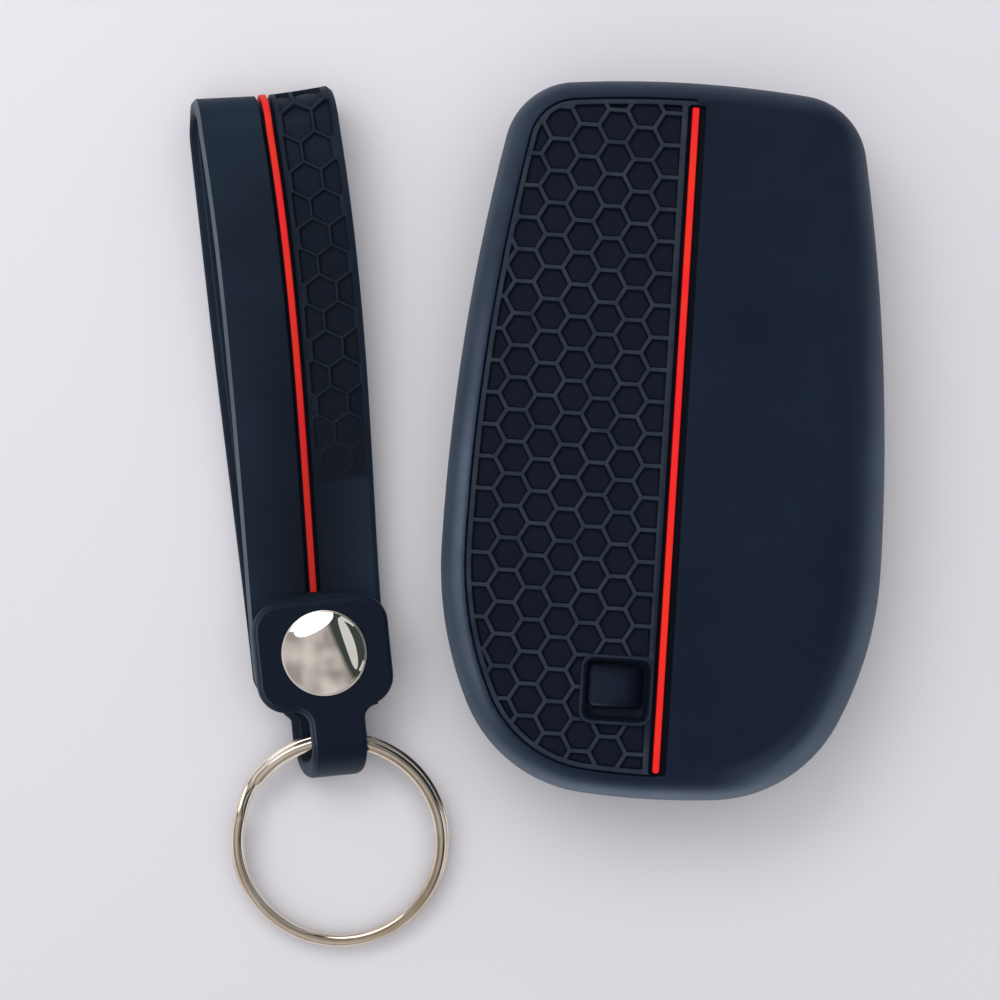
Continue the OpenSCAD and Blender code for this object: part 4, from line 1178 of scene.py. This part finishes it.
cap = Mould()
dome_r, dome_rise = CAP_R - CAP_BRIM, CAP_H - CAP_RIM_T
ball_r = (dome_r ** 2 + dome_rise ** 2) / (2 * dome_rise)
rim_z, roll_z = TAB_TOP + CAP_RIM_T, SOCKET_FLOOR - ROLL_T
profile = [(BARREL_BORE_R, TAB_TOP - CAP_RIM_T), (BARREL_BORE_R, roll_z)]
profile += [(ROLL_R + out, roll_z + up) for out, up in ROLL_EDGE]
profile += [(BARREL_R, SOCKET_FLOOR), (BARREL_R, TAB_TOP)]
profile += [(CAP_R - inset, TAB_TOP + up) for inset, up in UNDER_EDGE]
profile += [(CAP_R - inset, rim_z - drop) for inset, drop in BRIM_EDGE]
profile += [(dome_r + out, rim_z + up) for out, up in DOME_FOOT]
for k in range(1, DOME_STEPS):
    r = dome_r * (1 - k / DOME_STEPS)
    profile.append((r, rim_z + dome_rise - ball_r + math.sqrt(ball_r ** 2 - r ** 2)))
rows = turned(cap, profile)
cap.face(rows[0][::-1])
crown = cap.add(in_row_frame([(0, 0, rim_z + dome_rise)]))[0]
for a, b in zip(rows[-1], rows[-1][1:] + rows[-1][:1]):
    cap.face([a, b, crown])
placed("snap_cap_dome", cap.mesh("snap_cap_dome"), POLISHED, "tab", ["snap_cap"], 50)
for node in ("snap_socket", "snap_spring", "snap_stud", "snap_post"):
    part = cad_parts[node]
    part.data.materials.clear()
    part.data.materials.append(PLATED)

# ---------------------------------------------------------------------------------------------
# Split ring. Two turns of flattened spring wire, nickel plated and polished by use, wound close
# and joined by a short jog. It hangs in the loop and rests on the table at its far side.
# ---------------------------------------------------------------------------------------------

RING_D, WIRE_W, WIRE_T, TURN_GAP = 25.0, 1.7, 1.15, 0.1
RING_SHIFT, JOG_TURN, END_GAP, RING_START = -0.83, 22.0, 1.5, 140.0
RING_MID = RING_D / 2 - WIRE_W / 2
COIL_H = 2 * WIRE_T + TURN_GAP
RING_REACH = RING_MID - (RING_MID - math.sqrt(RING_MID ** 2 - (NECK_W / 2) ** 2)) / 2
RING_TILT = math.asin((LOOP_Z - COIL_H / 2) / (RING_REACH + RING_D / 2))
WIRE_STEPS, WIRE_SIDES, TURN_SLIP = 420, 40, 0.28
ROUND_WIRE_W = WIRE_W - TURN_SLIP
# How square the wire's section is, across and up, and how it narrows at its ends
SQUARE_ACROSS, SQUARE_UP, END_SHARE, END_ROUND = 0.9, 0.85, 0.8, 0.3
# Lines of tarnish along the wire's top, as (place across, half width, share), and the share below
TARNISH_LINES, UNDER_TARNISH = ((-0.2, 0.1, 1), (0.33, 0.08, 0.8)), 0.3


def wire_section():
    """The flattened wire's section: out and up from its middle, and its share of tarnish."""
    made = []
    for k in range(WIRE_SIDES):
        a = 2 * math.pi * k / WIRE_SIDES
        c, s = math.cos(a), math.sin(a)
        out = ROUND_WIRE_W / 2 * math.copysign(abs(c) ** SQUARE_ACROSS, c)
        up = WIRE_T / 2 * math.copysign(abs(s) ** SQUARE_UP, s)
        lines = sum(share * math.exp(-((out - place) / half) ** 2) for place, half, share in TARNISH_LINES)
        made.append((out, up, lines if s > 0 else UNDER_TARNISH))
    return np.array(made)


ring = Mould()
ring_rings = []
wire_from, wire_to = JOG_TURN + END_GAP, 720 - END_GAP
tilt_c, tilt_s = math.cos(RING_TILT), math.sin(RING_TILT)
out, up, tarnish = wire_section().T
for k in range(WIRE_STEPS + 1):
    turn = wire_from + (wire_to - wire_from) * k / WIRE_STEPS
    jogged = eased((turn - 360) / JOG_TURN)
    from_end = math.radians(min(turn - wire_from, wire_to - turn)) * RING_MID
    taper = END_SHARE + (1 - END_SHARE) * math.sqrt(min(from_end / END_ROUND, 1))
    r = RING_MID + out * taper - TURN_SLIP * (jogged - 0.5)
    z = (WIRE_T + TURN_GAP) * jogged + WIRE_T / 2 + up * taper - COIL_H / 2
    a = math.radians(turn + RING_START)
    x, y = r * math.cos(a), r * math.sin(a) - RING_REACH
    points = np.column_stack([RING_SHIFT + x, LOOP_Y + y * tilt_c - z * tilt_s,
                              LOOP_Z + y * tilt_s + z * tilt_c])
    ring_rings.append(ring.add(in_row_frame(points), recess=tarnish))
ring.tube(ring_rings)
RING_NICKEL = metal("ring_nickel", (0.86, 0.79, 0.71), (0.5, 0.37, 0.24), 0.6, 0.05, 0.08, 0.0000012)
placed("split_ring_wire", ring.mesh("split_ring_wire"), RING_NICKEL, "ring",
       ["split_ring"], 60)

# ---------------------------------------------------------------------------------------------
# The table, the lamps and the camera: a pale grey card under soft light from the upper left,
# seen from straight above with a long lens.
# ---------------------------------------------------------------------------------------------

# From here on, lengths are in metres. The table's card is painted paler at its upper left, a painted pool of
# light.
MIDDLE = np.array([-0.018, -0.008, 0.0])
TABLE_HALF = 1.5
CARD_LIT, CARD_LESS_LIT, CARD_ACROSS = (0.848, 0.834, 0.872), (0.76, 0.75, 0.783), (1.0, -0.9, 0.0)


def place_along(tree, place, direction):
    """How far a place lies along a direction."""
    node = tree.nodes.new("ShaderNodeVectorMath")
    node.operation = "DOT_PRODUCT"
    node.inputs[1].default_value = direction
    tree.links.new(place, node.inputs[0])
    return node.outputs["Value"]


table_mesh = bpy.data.meshes.new("table")
table_mesh.from_pydata([(MIDDLE[0] + x * TABLE_HALF, MIDDLE[1] + y * TABLE_HALF, 0)
                        for x, y in ((-1, -1), (1, -1), (1, 1), (-1, 1))], [], [(0, 1, 2, 3)])
table = in_scene("table", table_mesh)
card, tree, shader = plain_principled("pale_card", ior=1.5, specular=0.2)
shader.inputs["Roughness"].default_value = 0.9
less_lit = ranged(tree, place_along(tree, place_in(tree), CARD_ACROSS), -0.12, 0.02)
tree.links.new(blended(tree, less_lit, CARD_LIT, CARD_LESS_LIT), shader.inputs["Base Color"])
table.data.materials.append(card)

world = bpy.data.worlds.new("studio")
bpy.context.scene.world = world
world.use_nodes = True
tree = world.node_tree
nodes, links = tree.nodes, tree.links
place = place_in(tree, "Generated")
split = nodes.new("ShaderNodeSeparateXYZ")
links.new(place, split.inputs[0])
# The room's light by height above the horizon: dim low down and bright overhead. It is a little
# stronger from the upper left.
ROOM_LEVELS = ((0.0, 0.3), (0.34, 0.32), (0.5, 0.4), (0.766, 0.76), (0.906, 1.15), (0.96, 1.35), (1.0, 1.55))
ROOM_SIDE, ROOM_BLUE = (-0.22, 0.12, 0.0), 1.02
ramp = nodes.new("ShaderNodeValToRGB")
stops = ramp.color_ramp.elements
for k, (height, strength) in enumerate(ROOM_LEVELS):
    last = k == len(ROOM_LEVELS) - 1
    stop = stops[0] if k == 0 else stops[len(stops) - 1] if last else stops.new(height)
    stop.position, stop.color = height, (strength, strength, strength * ROOM_BLUE, 1)
links.new(split.outputs["Z"], ramp.inputs[0])
lit = nodes["Background"]
links.new(ramp.outputs[0], lit.inputs["Color"])
links.new(reckoned(tree, "ADD", place_along(tree, place, ROOM_SIDE), 1.0), lit.inputs["Strength"])
# Polished metal shows a mottled warm room at the lower left, a dark one at the upper right, and the
# pale backdrop low down
WARM_DARK, WARM_PALE, DARK_ROOM = (0.36, 0.33, 0.31), (0.68, 0.645, 0.61), (0.05, 0.062, 0.056)
WARM_SIDE, BACKDROP = (-0.9, -0.45, 0.0), (0.88, 0.87, 0.88)
shown = nodes.new("ShaderNodeBackground")
mottle = ranged(tree, noise(tree, place, 1.9, 1.0, 0.5), 0.38, 0.62)
warm = blended(tree, mottle, WARM_DARK, WARM_PALE)
room = blended(tree, ranged(tree, place_along(tree, place, WARM_SIDE), -0.26, -0.17), DARK_ROOM, warm)
low_down = ranged(tree, split.outputs["Z"], 0.56, 0.4)
links.new(blended(tree, low_down, room, BACKDROP), shown.inputs["Color"])
either = nodes.new("ShaderNodeMixShader")
for socket, source in zip(either.inputs, (nodes.new("ShaderNodeLightPath").outputs["Is Glossy Ray"],
                                          lit.outputs[0], shown.outputs[0])):
    links.new(source, socket)
links.new(either.outputs[0], nodes["World Output"].inputs["Surface"])


def soft_lamp(name, offset, size, share):
    """An oval soft lamp, so wide and high, that gives the table's middle that share of a plain
    level of light."""
    data = bpy.data.lights.new(name, "AREA")
    data.shape, (data.size, data.size_y) = "ELLIPSE", size
    lamp = in_scene(name, data)
    offset = Vector(offset)
    lamp.location = Vector(MIDDLE) + offset
    lamp.rotation_euler = offset.to_track_quat("Z", "Y").to_euler()
    data.energy = share * math.pi ** 2 * offset.length_squared / (offset.z / offset.length)


soft_lamp("window", (-0.265, 0.394, 0.64), (0.7, 0.34), 0.2)
soft_lamp("side_strip", (0.28, 0.113, 0.63), (0.85, 0.14), 0.035)

CAMERA_AT, CAMERA_TURN, LENS, SENSOR_W = (-0.01811, -0.00759, 0.300), 3.5, 94.4, 36.0
camera = in_scene("camera", bpy.data.cameras.new("camera"))
camera.data.lens, camera.data.sensor_width = LENS, SENSOR_W
camera.location, camera.rotation_euler = CAMERA_AT, (0, 0, math.radians(CAMERA_TURN))
bpy.context.scene.camera = camera
bpy.context.scene.view_settings.view_transform = "Standard"
